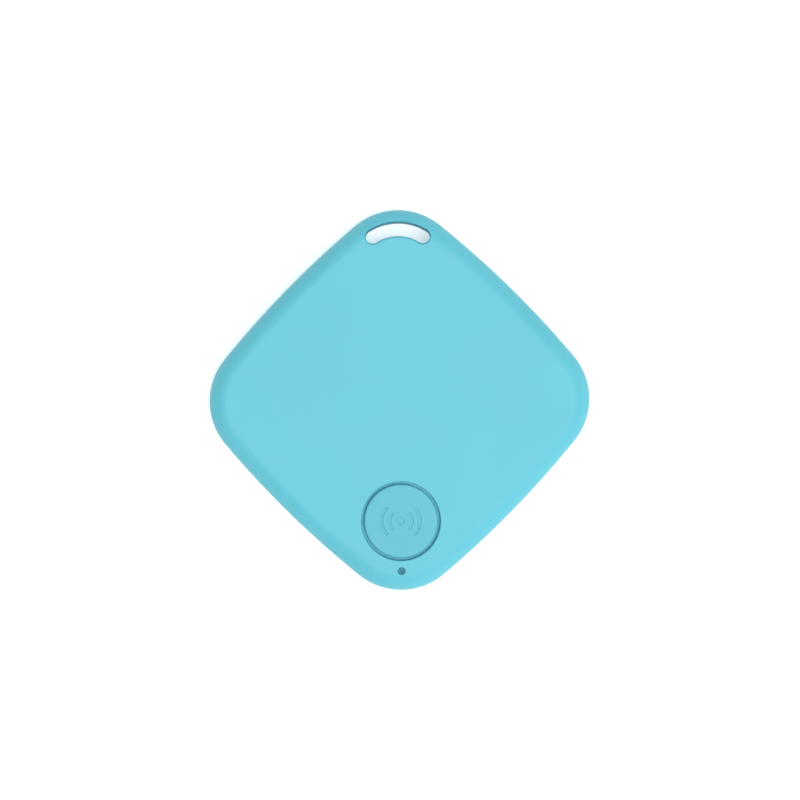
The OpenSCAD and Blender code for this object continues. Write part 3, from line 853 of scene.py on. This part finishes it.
# %% Instance tree
def repeat_tree():
    tree = new_tree("Repeat")
    ids = [add_input(tree, "Shape", "Object"), add_input(tree, "Scale")]
    ids.append(add_input(tree, "Material", "Material"))
    start = tree.nodes.new("NodeGroupInput")
    shape = chain(tree, "GeometryNodeObjectInfo", "Object", start.outputs["Shape"])
    turn = tree.nodes.new("GeometryNodeInputNamedAttribute")
    turn.inputs["Name"].default_value = "turn"
    spin = chain(tree, "ShaderNodeCombineXYZ", "Z", turn.outputs["Attribute"])
    copies = chain(tree, "GeometryNodeInstanceOnPoints", "Points", start.outputs["Geometry"],
                   Instance=shape.outputs["Geometry"], Rotation=spin.outputs["Vector"],
                   Scale=start.outputs["Scale"])
    finish_tree(tree, copies.outputs["Instances"], start.outputs["Material"])
    return tree, ids


REPEAT_TREE, REPEAT_IDS = repeat_tree()
print("repeat tree inputs:", len(REPEAT_IDS))


def repeat(name, shape, places, material, scale=1.0):
    """A copy of shape, which stands at the origin, on every place (x, y, z, turn)."""
    mesh = bpy.data.meshes.new(name)
    mesh.from_pydata([(x * MM, y * MM, z * MM) for x, y, z, turn in places], [], [])
    turns = mesh.attributes.new("turn", "FLOAT", "POINT")
    for i, (x, y, z, turn) in enumerate(places):
        turns.data[i].value = math.radians(turn)
    cloud = run_tree(show(name, mesh), REPEAT_TREE, dict(zip(REPEAT_IDS, (shape, scale, material))))
    bpy.data.objects.remove(shape)
    return cloud


# %% [markdown]
# ## The circuit board
# The board is a flat plate with the case's own outline, cut off straight below the slot.
# Under the solder mask the copper tracks stand up very slightly, and that is what makes a
# real board look real. So the plate, the raised tracks, the tinned pads and the printed
# outlines are separate pieces, each a few hundredths of a millimetre thick.

# %% Board plate
mask_green = (0.012, 0.12, 0.065)
solder_mask = plastic("Green solder mask", mask_green, 0.28, grain=1200, relief=0.004, share=0.1, coat=0.4)
track_mask = plastic("Solder mask on copper", (0.03, 0.22, 0.1), 0.28, grain=1200, relief=0.004, coat=0.4)
print_white = plastic("Printed legend", (0.8, 0.8, 0.76), 0.6)

BOARD_INSET = SIDE_WALL + 0.35
BOARD_CUT_Y = board_high.y


def make_board():
    board = pebble("Circuit board", BOARD_INSET, BOARD_BOTTOM, BOARD_TOP)
    cut(board, block("cut", (60, 20, 4), (0, BOARD_CUT_Y + 10, BOARD_BOTTOM - 1)))
    for place in SCREWS:
        cut(board, rod("hole", SCREW_R + 0.1, 0, TOP, place, 32))
    cut(board, rod("post hole", 0.82, 0, TOP, POST, 32))
    return clean(board)


circuit_board = settle(make_board(), "base", solder_mask, "board_green", "circuit_board")
circuit_board.data.materials.append(board_core)
for face in circuit_board.data.polygons:
    if abs(face.normal.z) < 0.5:
        face.material_index = 1

# %% [markdown]
# ### Parts on the board, by place
# The places of most single parts are read from their CAD boxes. The transistor's is given
# here. The capacitors and resistors share a node each, so their places are listed as x, y
# and turn, in millimetres and degrees.

# %% Layout
def middle(node):
    low, high = span(node)
    return ((low.x + high.x) / 2, (low.y + high.y) / 2)


CHIP = middle("radio_chip")
CRYSTAL = middle("crystal")
INDUCTOR = middle("boost_inductor")
TRANSISTOR = (-5.6, -10.9)
BULK = middle("bulk_capacitor")
PIEZO = middle("piezo_plate")
CELL = middle("cell_can")
SWITCH = (0, BUTTON_Y)
CAPACITORS = [
    (11.6, -7.9, 45), (12.7, -6.8, 45), (9.1, -11.3, 45), (10.2, -9.3, -45),
    (12.1, -4.4, 0), (17, -4.2, 90), (12.4, 6.6, -45), (-12.6, -8, -45),
]
RESISTORS = [(8, -12.4, 45), (7.8, -9.4, 45), (13.4, 5.9, -45), (-7.6, -12.6, -45), (-3.4, -18.2, 0)]
SPRINGS = [PIEZO, (PIEZO[0] - 5.15, PIEZO[1])]
print("sounder at", [round(c, 2) for c in PIEZO], "cell at", [round(c, 2) for c in CELL])

# %% [markdown]
# ### Small ceramic parts
# A chip capacitor is a ceramic block with tinned ends, and a resistor is flatter, with a
# dark glaze. Both are 1 mm long here, and one larger capacitor steadies the supply. Body and
# ends are made once at the origin and repeated on the layout.

# %% Capacitors and resistors
def origin_block(name, size, offset=(0, 0, 0), width=0.04):
    shape = block(name, size, offset)
    return soften(shape, width)


def both_ends(name, length, width, height, cap, grow=0.015):
    """The two tinned ends of a chip part."""
    side = (length - cap) / 2 + grow / 2
    first = origin_block(name, (cap + grow, width + grow, height + grow), (side, 0, 0), 0.05)
    second = origin_block("end", (cap + grow, width + grow, height + grow), (-side, 0, 0), 0.05)
    return join(first, second)


def chip_parts(name, places, length, width, height, cap, finish, slot_name, node):
    spots = [(x, y, BOARD_TOP, turn) for x, y, turn in places]
    core = origin_block(name + " body", (length - 2 * cap + 0.1, width, height))
    bodies = repeat(name + " bodies", core, spots, finish)
    ends = repeat(name + " ends", both_ends(name + " end", length, width, height, cap), spots, tinned_metal)
    settle(clean(bodies), "base", finish, slot_name, node)
    settle(clean(ends), "base", tinned_metal, "tinned_metal")


chip_parts("Capacitor", CAPACITORS, 1.0, 0.5, 0.5, 0.25, ceramic_tan, "capacitor_tan", "capacitors")
chip_parts("Resistor", RESISTORS, 1.0, 0.5, 0.35, 0.2, resistor_glass, "resistor_black", "resistors")
chip_parts("Bulk capacitor", [(*BULK, 45)], 3.2, 1.6, 1.2, 0.55, ceramic_tan, "capacitor_tan",
           "bulk_capacitor")

# %% [markdown]
# ### The radio chip
# The radio chip is a flat square package whose pads sit under its rim. A sunk dot marks
# its first pad. The package is a softened block, and the pads are one small block repeated
# along the four sides.

# %% Radio chip and its pads
CHIP_W = 4.0
CHIP_H = 0.75


def make_chip():
    chip = block("Radio chip", (CHIP_W, CHIP_W, CHIP_H), (*CHIP, BOARD_TOP + 0.02))
    soften(chip, 0.06)
    corner = (CHIP[0] - CHIP_W / 2 + 0.55, CHIP[1] + CHIP_W / 2 - 0.55)
    top = BOARD_TOP + 0.02 + CHIP_H
    return clean(cut(chip, rod("dot", 0.2, top - 0.05, top + 1, corner, 32)))


def chip_pads():
    """Eight tinned pads along each side, just showing under the rim."""
    places = []
    for turn in (0, 90, 180, 270):
        angle = math.radians(turn)
        for i in range(8):
            x, y = CHIP_W / 2 - 0.02, (i - 3.5) * 0.42
            places.append((CHIP[0] + x * math.cos(angle) - y * math.sin(angle),
                           CHIP[1] + x * math.sin(angle) + y * math.cos(angle), BOARD_TOP, turn))
    return repeat("Chip pads", origin_block("pad", (0.3, 0.22, 0.12), width=0.02), places, tinned_metal)


settle(make_chip(), "base", chip_plastic, "chip_black", "radio_chip")
settle(clean(chip_pads()), "base", tinned_metal, "tinned_metal")

# %% [markdown]
# ### The crystal
# The crystal is a small metal can on a dark base. Two blocks with different bevels are
# enough, because at this size only its bright rounded lid is noticed.

# %% Crystal
can = soften(block("Crystal can", (2.3, 1.8, 0.3), (*CRYSTAL, BOARD_TOP + 0.3)), 0.12, 3)
settle(clean(can), "base", nickel_steel, "tinned_metal", "crystal")
base = soften(block("Crystal base", (2.5, 2.0, 0.3), (*CRYSTAL, BOARD_TOP)), 0.04)
settle(clean(base), "base", black_plastic, "black_plastic")

# %% [markdown]
# ### The transistor
# The transistor that drives the sounder has a moulded body and three bent legs. One leg is
# made at the origin from three joined blocks, and the repeat tree sets it in its places.

# %% Transistor
body = soften(block("Transistor body", (2.9, 1.3, 0.9), (*TRANSISTOR, BOARD_TOP + 0.1), -45), 0.08)
settle(clean(body), "base", chip_plastic, "chip_black", "driver_transistor")


def transistor_leg():
    """One leg, bent down from the body's side to the board, at the origin."""
    foot = origin_block("leg", (0.4, 0.4, 0.13), (0, 0.32, 0), 0.02)
    rise = origin_block("rise", (0.4, 0.13, 0.5), (0, 0.12, 0), 0.02)
    bridge = origin_block("bridge", (0.4, 0.3, 0.13), (0, 0, 0.4), 0.02)
    return join(foot, rise, bridge)


legs = []
for x, y, turn in ((-0.95, -0.72, 180), (0.95, -0.72, 180), (0, 0.72, 0)):
    c, s = math.cos(math.radians(-45)), math.sin(math.radians(-45))
    legs.append((TRANSISTOR[0] + x * c - y * s, TRANSISTOR[1] + x * s + y * c, BOARD_TOP, turn - 45))
leg_set = repeat("Transistor legs", transistor_leg(), legs, tinned_metal)
settle(clean(leg_set), "base", tinned_metal, "tinned_metal")

# %% [markdown]
# ### The lamp
# The lamp is a pale base with a clear yellowish lens on it, right below the light pipe.

# %% Lamp
lamp = soften(block("Lamp base", (1.6, 0.8, 0.25), (0, LIGHT_Y, BOARD_TOP)), 0.03)
settle(clean(lamp), "base", lamp_body, "led_body", "status_led")
lens = soften(block("Lamp lens", (1.1, 0.7, 0.32), (0, LIGHT_Y, BOARD_TOP + 0.23)), 0.1, 3)
settle(clean(lens), "base", lamp_resin, "led_body")

# %% [markdown]
# ### Wound and coiled pieces
# The inductor is a ferrite bobbin with copper wire, and two coil springs carry current
# from the board to the sounder in the other cover. All of them follow a helix. A node
# tree draws the helix and gives it a round section, with its radius, height, turns and
# wire as named inputs.

# %% Helix tree
def helix_tree():
    tree = new_tree("Helix")
    names = ("Coil radius", "Coil height", "Turns", "Wire radius")
    ids = [add_input(tree, name) for name in names] + [add_input(tree, "Material", "Material")]
    start = tree.nodes.new("NodeGroupInput")
    radius = start.outputs["Coil radius"]
    spiral = chain(tree, "GeometryNodeCurveSpiral", "Start Radius", radius, End_Radius=radius,
                   Height=start.outputs["Coil height"], Rotations=start.outputs["Turns"], Resolution=28)
    wire = chain(tree, "GeometryNodeCurvePrimitiveCircle", "Radius", start.outputs["Wire radius"],
                 Resolution=12)
    sweep = chain(tree, "GeometryNodeCurveToMesh", "Curve", spiral.outputs["Curve"],
                  Profile_Curve=wire.outputs["Curve"], Fill_Caps=True)
    finish_tree(tree, sweep.outputs["Mesh"], start.outputs["Material"])
    return tree, ids


HELIX_TREE, HELIX_IDS = helix_tree()
print("helix tree inputs:", len(HELIX_IDS))


def coil(name, place, radius, z0, z1, turns, wire, material):
    """A coil from z0 to z1 about an upright axis at place, in millimetres."""
    values = (radius * MM, (z1 - z0 - 2 * wire) * MM, float(turns), wire * MM, material)
    obj = run_tree(show(name, bpy.data.meshes.new(name)), HELIX_TREE, dict(zip(HELIX_IDS, values)))
    obj.data.transform(Matrix.Translation(Vector((*place, z0 + wire)) * MM))
    return obj


# %% [markdown]
# ### The sounder's springs
# Two gold-flashed springs reach up to the sounder. One stands under the ceramic and the other
# under the brass plate, so they end at different heights, which the CAD boxes give.

# %% Springs
SPRING_R = 0.6
SPRING_WIRE = 0.13
SPRING_TURNS = 5
SPRING_GAP = 0.03
sounder_low = span("piezo_plate")[0]
ceramic_low = span("piezo_ceramic")[0]
springs = []
for place, top in zip(SPRINGS, (ceramic_low.z, sounder_low.z)):
    height = top - SPRING_GAP
    spring = coil("Spring", place, SPRING_R, BOARD_TOP, height, SPRING_TURNS, SPRING_WIRE, contact_bronze)
    springs.append(spring)
spring_pair = springs[0]
spring_pair.name = "Sounder_springs"
join(spring_pair, springs[1])
settle(clean(spring_pair), "base", contact_bronze, "contact_metal", "piezo_springs")

# %% [markdown]
# ### The inductor
# The inductor is a turned ferrite bobbin with two layers of enamelled wire between its
# flanges. Each layer is one helix, and the outer one only has a larger radius.

# %% Inductor
WIRE_R = 0.085
WIRE_TURNS = 6
WIRE_LOW = 0.42
WIRE_HIGH = 1.38
core_section = [(2.0, 0), (2.0, 0.35), (1.0, 0.42), (1.0, 1.38), (2.0, 1.45), (2.0, 1.76), (1.95, 1.8)]
core = lathe("Inductor core", [(r, BOARD_TOP + z) for r, z in core_section], INDUCTOR)
settle(clean(core), "base", ferrite_grey, "ferrite", "boost_inductor")
for layer, radius in enumerate((1.25, 1.5)):
    winding = coil(f"Inductor wire {layer + 1}", INDUCTOR, radius, BOARD_TOP + WIRE_LOW,
                   BOARD_TOP + WIRE_HIGH, WIRE_TURNS, WIRE_R, wire_copper)
    settle(clean(winding), "base", wire_copper, "copper")

# %% [markdown]
# ## Tracks, pads, vias and legend
# A track is a flat copper ribbon that runs straight or turns by 45 degrees. Each is a
# short list of points. A node tree rounds the bends and sweeps a flat bar along them, with
# the bar's width, height and bend radius as inputs. The pads under the parts and the rings
# of the vias are tinned or gold-flashed copper.

# %% Ribbon tree
def ribbon_tree():
    tree = new_tree("Ribbon")
    ids = [add_input(tree, name) for name in ("Width", "Height", "Bend radius")]
    ids.append(add_input(tree, "Material", "Material"))
    start = tree.nodes.new("NodeGroupInput")
    width, height = start.outputs["Width"], start.outputs["Height"]
    line = chain(tree, "GeometryNodeMeshToCurve", "Mesh", start.outputs["Geometry"])
    bends = chain(tree, "GeometryNodeFilletCurve", "Curve", line.outputs["Curve"], "POLY",
                  Count=3, Radius=start.outputs["Bend radius"], Limit_Radius=True)
    flat = chain(tree, "GeometryNodeSetCurveNormal", "Curve", bends.outputs["Curve"], "Z_UP")
    bar = chain(tree, "GeometryNodeCurvePrimitiveQuadrilateral", "Width", width, Height=height)
    sweep = chain(tree, "GeometryNodeCurveToMesh", "Curve", flat.outputs["Curve"],
                  Profile_Curve=bar.outputs["Curve"], Fill_Caps=True)
    finish_tree(tree, sweep.outputs["Mesh"], start.outputs["Material"])
    return tree, ids


RIBBON_TREE, RIBBON_IDS = ribbon_tree()
print("ribbon tree inputs:", len(RIBBON_IDS))


# %% [markdown]
# ### Ribbons along a route
# Many routes go through the tree in one run. Where flat bars cross at the same height their
# faces coincide and render as dark specks. So each route is lifted by a hair over the one
# before it, in a cycle.

# %% Ribbons
LIFT = 0.0005
LIFT_CYCLE = 7


def ribbons(name, routes, width, height, material, bend_radius=0.3):
    """Flat bars on the board along the routes, which are lists of points in millimetres."""
    points, edges = [], []
    for k, route in enumerate(routes):
        closed = math.dist(route[0], route[-1]) < 0.001
        corners = route[:-1] if closed else route
        first = len(points)
        level = BOARD_TOP + height / 2 + LIFT * (k % LIFT_CYCLE)
        points += [(x * MM, y * MM, level * MM) for x, y in corners]
        edges += [(first + i, first + i + 1) for i in range(len(corners) - 1)]
        if closed:
            edges.append((len(points) - 1, first))
    mesh = bpy.data.meshes.new(name)
    mesh.from_pydata(points, edges, [])
    values = (width * MM, height * MM, bend_radius * MM, material)
    return run_tree(show(name, mesh), RIBBON_TREE, dict(zip(RIBBON_IDS, values)))


# %% [markdown]
# ### The tracks
# A board designer lays tracks straight or at 45 degrees. Given its ends, each stretch is
# split into a slanted and a straight part, and rows of tracks run side by side as a fan.
# The layout itself is made up for this tag.

# %% Tracks
def bend(*points):
    """A route through points, where each stretch is split into a straight and a 45 degree part."""
    route = [points[0]]
    for x1, y1 in points[1:]:
        x0, y0 = route[-1]
        dx, dy = x1 - x0, y1 - y0
        diagonal = min(abs(dx), abs(dy))
        knee = (x1 - math.copysign(diagonal, dx), y1 - math.copysign(diagonal, dy))
        if min(math.dist(knee, (x0, y0)), math.dist(knee, (x1, y1))) > 0.05:
            route.append(knee)
        route.append((x1, y1))
    return route


def fan(first, step, target, target_step, count):
    """Routes side by side from one row of points to another."""
    routes = []
    for i in range(count):
        a = (first[0] + step[0] * i, first[1] + step[1] * i)
        b = (target[0] + target_step[0] * i, target[1] + target_step[1] * i)
        routes.append(bend(a, b))
    return routes


CHIP_BOTTOM = CHIP[1] - CHIP_W / 2 - 0.1
CHIP_TOP = CHIP[1] + CHIP_W / 2 + 0.1
CHIP_RIGHT = CHIP[0] + CHIP_W / 2 + 0.1
tracks = []
tracks += fan((CHIP[0] - 1.47, CHIP_BOTTOM), (0.42, 0), (2.9, -13.6), (0.42, -0.42), 5)
tracks += fan((CHIP[0] - 0.63, CHIP_TOP), (0.42, 0), (CRYSTAL[0] - 0.6, CRYSTAL[1] - 0.9), (0.6, 0), 3)
tracks += fan((CHIP_RIGHT, CHIP[1] + 0.63), (0, -0.42), (17.3, 0.8), (0, -0.8), 3)
tracks += fan((-3.2, -13.4), (0, -0.7), (TRANSISTOR[0] - 0.4, TRANSISTOR[1] - 0.6), (-0.5, -0.7), 3)
tracks += fan((-11.2, -8.4), (0, 0.6), (SPRINGS[0][0], SPRINGS[0][1] - 1.2), (-5.15, 0), 2)
tracks += [bend((-7.4, -9.8), (-6.2, -10.4)), bend((-3.2, -16), (-0.8, LIGHT_Y))]
tracks += [bend((3.2, -16), (0.8, LIGHT_Y))]
tracks += [bend((12.4, 6.6), (8.6, 10.4), (0, 14.9), (-8.2, 14.9), (-14.4, 8.2), (-16.4, 2.4))]
tracks += [bend((13.4, 5.9), (9.6, 9.8), (9.6, 11)), bend((-9.4, 10.8), (-15.8, 4.4), (-17.8, 1.4))]
tracks += fan((-2.6, 15.2), (1.3, 0), (-2.6, 16.2), (1.3, 0), 5)
tracks += [bend((-16.8, -1.4), (-12.9, -7.6)), bend((-12.2, -8.4), (-10.4, -11.6), (-7.8, -12.4))]
tracks += [bend((5.4, -12.6), (4.6, -17.6), (2.4, -19.2)), bend((7.4, -13), (5.8, -17.6), (3.2, -19.6))]
tracks_piece = ribbons("Tracks", tracks, 0.2, 0.02, track_mask)
settle(clean(tracks_piece, 60), "base", track_mask, "board_green")

# %% [markdown]
# ### Antenna
# The radio's antenna is a copper line folded like a radiator, at the right-hand corner,
# as far from the cell as it can be. Here it is drawn by its rule: runs of falling length,
# joined left and right in turn.

# %% Antenna
def antenna_route():
    reach = [2.2, 2.2, 2.2, 1.8, 1.4]
    points = []
    for i in range(4):
        x, side = 17.5 + 0.9 * i, 1 if i % 2 else -1
        points += [(x, side * reach[i]), (x, -side * reach[i + 1])]
    return points


antenna = ribbons("Antenna", [antenna_route()], 0.4, 0.045, gold_copper, 0.12)
settle(clean(antenna, 60), "base", gold_copper, "copper", "antenna_trace")


# %% [markdown]
# ### Solder pads and vias
# Each chip part stands on two tinned pads, which show a little beyond its ends. A via is a
# gold-flashed ring round a drilled hole that joins the two faces of the board. Pads are
# short ribbons, and vias are one ring repeated.

# %% Pads and vias
def pads_for(places, reach, length):
    """Two flat tinned pads under the ends of each chip part."""
    pads = []
    for x, y, turn in places:
        angle = math.radians(turn)
        for side in (-1, 1):
            middle_at = around((x, y), side * reach, angle)
            ends = [around(middle_at, d, angle) for d in (-length / 2, length / 2)]
            pads.append(ends)
    return pads


pads = ribbons("Solder pads", pads_for(CAPACITORS + RESISTORS, 0.5, 0.35), 0.62, 0.03, tinned_metal)
settle(clean(pads, 60), "base", tinned_metal, "tinned_metal")
big_pads = pads_for([(*BULK, 45)], 1.5, 0.8) + pads_for([(*INDUCTOR, 45)], 1.95, 0.9)
big = ribbons("Large pads", big_pads, 1.6, 0.03, tinned_metal)
settle(clean(big, 60), "base", tinned_metal, "tinned_metal")

vias = [(x, y, BOARD_TOP, 0) for x, y in (
    (3.6, -17.2), (5.1, -18.4), (-2.2, -18.9), (-9.2, -12.6), (-14.2, -5.8), (-16.2, -3.2),
    (12.6, 8.4), (11.2, 9.8), (6.2, 15.6), (4.4, 15.8), (-5.4, 15.8), (-12.2, 8.6), (-13.6, 7.2),
    (16.6, 4.2), (15.4, 5.6), (13.6, -6), (16.6, -5.6), (15.2, -6.4), (11, -12), (2.4, -18.2),
)]
via_shape = cut(lathe("via", [(0.3, 0.0), (0.3, 0.028)], facets=24), rod("drill", 0.12, -1, 1, facets=16))
settle(clean(repeat("Vias", via_shape, vias, gold_copper), 50), "base", gold_copper, "copper")

# %% [markdown]
# ### Legend
# The white print marks where each part goes. Only plain frames and dots are drawn, with
# no lettering.

# %% Printed frames
def frame_route(centre, w, d, turn=0.0):
    angle = math.radians(turn)
    c, s = math.cos(angle), math.sin(angle)
    corners = [(-w / 2, -d / 2), (w / 2, -d / 2), (w / 2, d / 2), (-w / 2, d / 2), (-w / 2, -d / 2)]
    return [(centre[0] + x * c - y * s, centre[1] + x * s + y * c) for x, y in corners]


def circle_route(centre, radius, steps=40):
    return [around(centre, radius, 2 * math.pi * i / steps) for i in range(steps + 1)]


legend = [frame_route(CHIP, 4.9, 4.9), frame_route(CRYSTAL, 3.1, 2.6), frame_route(BULK, 4.2, 2.3, 45)]
legend += [circle_route(INDUCTOR, 2.35), frame_route(SWITCH, 5.2, 5.2), frame_route((0, LIGHT_Y), 2.3, 1.3)]
legend += [circle_route(place, 0.95) for place in SPRINGS]
legend += [frame_route((x, y), 1.7, 0.95, turn) for x, y, turn in CAPACITORS + RESISTORS]
legend += [circle_route((CHIP[0] - 2.8, CHIP[1] + 2.1), 0.1, 12)]
printed = ribbons("Legend", legend, 0.1, 0.026, print_white, 0.12)
settle(clean(printed, 60), "base", print_white, "board_green")

# %% [markdown]
# ## Screws
# Three small pan-head screws hold the board down. One is made at the origin with its
# cross recess, and the tree repeats it at the bosses.

# %% Board screws
HEAD_R = 1.2
HEAD_T = 0.5


def make_screw():
    depth = BOARD_TOP - BOARD_BOTTOM + 1.05
    section = [(0.35, -depth), (SCREW_R - 0.08, -depth + 0.25)]
    pitch = 0.3
    turns = int((depth - 0.3) / pitch)
    for i in range(turns):
        z = -depth + 0.3 + i * pitch
        section += [(SCREW_R - 0.1, z), (SCREW_R, z + pitch / 2)]
    section += [(SCREW_R - 0.1, 0.0), (HEAD_R, 0.0), (HEAD_R, HEAD_T * 0.45)]
    for i in range(1, 8):
        angle = math.pi / 2 * i / 8
        section.append((HEAD_R * math.cos(angle) ** 0.6 + 0.02, HEAD_T * (0.45 + 0.55 * math.sin(angle))))
    screw = lathe("screw", section, facets=48)
    for turn in (45, 135):
        cut(screw, block("cross", (1.3, 0.28, 1), (0, 0, 0.15), turn))
    return screw


spots = [(x, y, BOARD_TOP, 30 * i) for i, (x, y) in enumerate(SCREWS)]
screws = repeat("Board screws", make_screw(), spots, nickel_steel)
settle(clean(screws), "base", nickel_steel, "screw_steel", "board_screws")

# %% [markdown]
# ## The coin cell
# The cell is a pressed steel can crimped over a shallower cap, with a black ring between
# them. The can's top face is the positive side, so it carries a pressed plus sign. Its
# brushed look comes from noise stretched one way. The sunk plus and ring are etched darker,
# so their floors get a second material.

# %% Cell can
CELL_R = can_high.x - CELL[0]
PLUS = (3.6, 0.6)


def make_can():
    bottom, top = can_low.z, can_high.z
    edge = 0.4
    section = [(CELL_R - 0.25, bottom), (CELL_R - 0.08, bottom + 0.1), (CELL_R, bottom + 0.3)]
    for i in range(7):
        angle = math.pi / 2 * i / 6
        section.append((CELL_R - edge * (1 - math.cos(angle)), top - edge * (1 - math.sin(angle))))
    section.append((CELL_R - edge - 0.3, top))
    can_body = lathe("Cell can", section, CELL, 160)
    cut(can_body, rod("mouth", 9.2, bottom - 1, bottom + 0.25, CELL, 128))
    cut(can_body, rod("inside", CELL_R - 0.25, bottom + 0.25, top - 0.25, CELL, 128))
    for turn in (0, 90):
        bar = block("plus", (PLUS[0], PLUS[1], 0.2), (CELL[0], CELL[1], top - 0.06), turn)
        cut(can_body, bar)
    groove = tube("groove", 7.9, 8.1, top - 0.03, top + 0.2, CELL, 128)
    return clean(cut(can_body, groove))


cell_can = settle(make_can(), "cell", cell_steel, "cell_steel", "cell_can")
cell_can.data.materials.append(cell_mark)
for face in cell_can.data.polygons:
    if can_high.z - 0.09 < face.center.z / MM < can_high.z - 0.01 and face.normal.z > 0.95:
        face.material_index = 1

# %% [markdown]
# ### The cell's cap
# The cap is the negative side. It is turned with a slanted edge, and then bored from above,
# because the cell's filling is a CAD piece of its own.

# %% Cell cap
cap_low, cap_high = span("cell_cap")
CAP_R = cap_high.x - CELL[0]
section = [(CAP_R - 1.2, cap_low.z + 0.05), (CAP_R - 1.0, cap_low.z), (CAP_R - 0.35, cap_low.z)]
section += [(CAP_R - 0.1, cap_low.z + 0.1), (CAP_R, cap_low.z + 0.35), (CAP_R, cap_high.z)]
cap = lathe("Cell cap", section, CELL, 128)
cut(cap, rod("inside", CAP_R - 0.25, cap_low.z + 0.3, cap_high.z + 1, CELL, 96))
settle(clean(cap), "cell", nickel_steel, "cell_steel", "cell_cap")

# %% [markdown]
# ## The switch's snap dome
# Under the switch's plunger sits a thin domed disc of spring steel, which clicks flat when
# it is pressed. It is turned as one cap minus a slightly lower one, and it is given a mesh
# of its own.

# %% Snap dome
dome_low, dome_high = span("switch_dome")
DOME_R = dome_high.x
DOME_H = dome_high.z - dome_low.z
SPHERE_R = (DOME_R ** 2 + DOME_H ** 2) / (2 * DOME_H)


def dome_cap(name, lower):
    """The solid under the dome's surface, lowered by a little."""
    base = dome_low.z - lower - 0.05
    section = [(DOME_R + lower, base)]
    for i in range(11):
        radius = DOME_R * (1 - i / 10) + 0.02
        section.append((radius, dome_high.z - SPHERE_R + math.sqrt(SPHERE_R ** 2 - radius ** 2) - lower))
    return lathe(name, section, SWITCH, 64)


snap_dome = cut(dome_cap("Switch dome", 0), dome_cap("hollow", 0.08))
cut(snap_dome, rod("below", DOME_R + 1, dome_low.z - 1, dome_low.z, SWITCH, 64))
settle(clean(snap_dome), "base", spring_steel, "spring_steel", "switch_dome")
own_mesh(snap_dome)

# %% [markdown]
# ## CAD pieces that keep their shape
# Many pieces are right as they are: flat rings, leaves, plates and pins. They only get
# their finish here, on their own material slots.

# %% Finishes on CAD pieces
cad_finish = {
    "light_pipe": pipe_plastic, "piezo_tape": tape_white, "piezo_plate": sounder_brass,
    "piezo_ceramic": sounder_ceramic, "cell_pad": foam_black, "switch_plunger": switch_plastic,
    "cell_gasket": gasket_plastic, "cell_core": ferrite_grey, "cell_cradle": black_plastic,
    "positive_contact": contact_bronze, "negative_contact": contact_bronze,
    "switch_base": black_plastic, "switch_frame": spring_steel, "switch_terminals": tinned_metal,
}
for node, finish in cad_finish.items():
    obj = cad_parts[node]
    if not obj.material_slots:
        obj.data.materials.append(finish)
    for material_slot in obj.material_slots:
        material_slot.material = finish
print("CAD pieces finished:", len(cad_finish))

# %% [markdown]
# ## Floor, light and camera
# The tag lies on a pale table. A large soft panel hangs above it and a weaker one stands
# to the lower right, so the upper left edges stay a touch darker. The camera looks
# straight down. The floor glows faintly, so that it also stays pale inside the slot.

# %% Stage
FLOOR_DROP = -0.02
floor_mesh = bpy.data.meshes.new("Floor")
floor_mesh.from_pydata([(-3, -3, 0), (3, -3, 0), (3, 3, 0), (-3, 3, 0)], [], [(0, 1, 2, 3)])
floor = show("Floor", floor_mesh)
floor.location.z = FLOOR_DROP * MM
floor_paint = new_material("Pale lit table", (0.9, 0.9, 0.9), 0.7)
floor_shader = floor_paint.node_tree.nodes["Principled BSDF"]
floor_shader.inputs["Emission Color"].default_value = (1, 1, 1, 1)
floor_shader.inputs["Emission Strength"].default_value = 0.45
floor.data.materials.append(floor_paint)


def panel(name, place, size, power, target=(0, 0, 0)):
    light = bpy.data.lights.new(name, "AREA")
    light.shape = "SQUARE"
    light.size = size
    light.energy = power
    obj = bpy.data.objects.new(name, light)
    obj.location = place
    obj.rotation_euler = (Vector(target) - Vector(place)).to_track_quat("-Z", "Y").to_euler()
    bpy.context.scene.collection.objects.link(obj)
    return obj


panel("Top panel", (0.14, -0.12, 1.2), 0.5, 10.5)
panel("Side panel", (0.6, -0.6, 0.5), 0.5, 1.6)

world = bpy.data.worlds.new("Studio")
bpy.context.scene.world = world
world.use_nodes = True
world.node_tree.nodes["Background"].inputs["Color"].default_value = (1, 1, 1, 1)
world.node_tree.nodes["Background"].inputs["Strength"].default_value = 0.35
bpy.context.scene.view_settings.view_transform = "Standard"

# %% [markdown]
# ## The camera
# A short lens close to the tag would look into the slot at a slant. A long lens far away
# looks almost straight down everywhere, so the slot shows the table behind it. The camera is
# turned by less than a degree, and its distance follows from the width of the view.

# %% Camera
LENS = 200.0
SENSOR = 36.0
VIEW_WIDTH = 96.24
ROLL = math.radians(-0.65)
AIM = (0.05, 0.01)
distance = VIEW_WIDTH * LENS / SENSOR
camera_data = bpy.data.cameras.new("Camera")
camera_data.lens = LENS
camera_data.sensor_width = SENSOR
camera_data.clip_start = 0.01
camera = bpy.data.objects.new("Camera", camera_data)
camera.location = (AIM[0] * MM, AIM[1] * MM, (TOP - EDGE_R + distance) * MM)
camera.rotation_euler = (0, 0, ROLL)
bpy.context.scene.collection.objects.link(camera)
bpy.context.scene.camera = camera
print(f"camera {distance:.0f} mm above the tag")
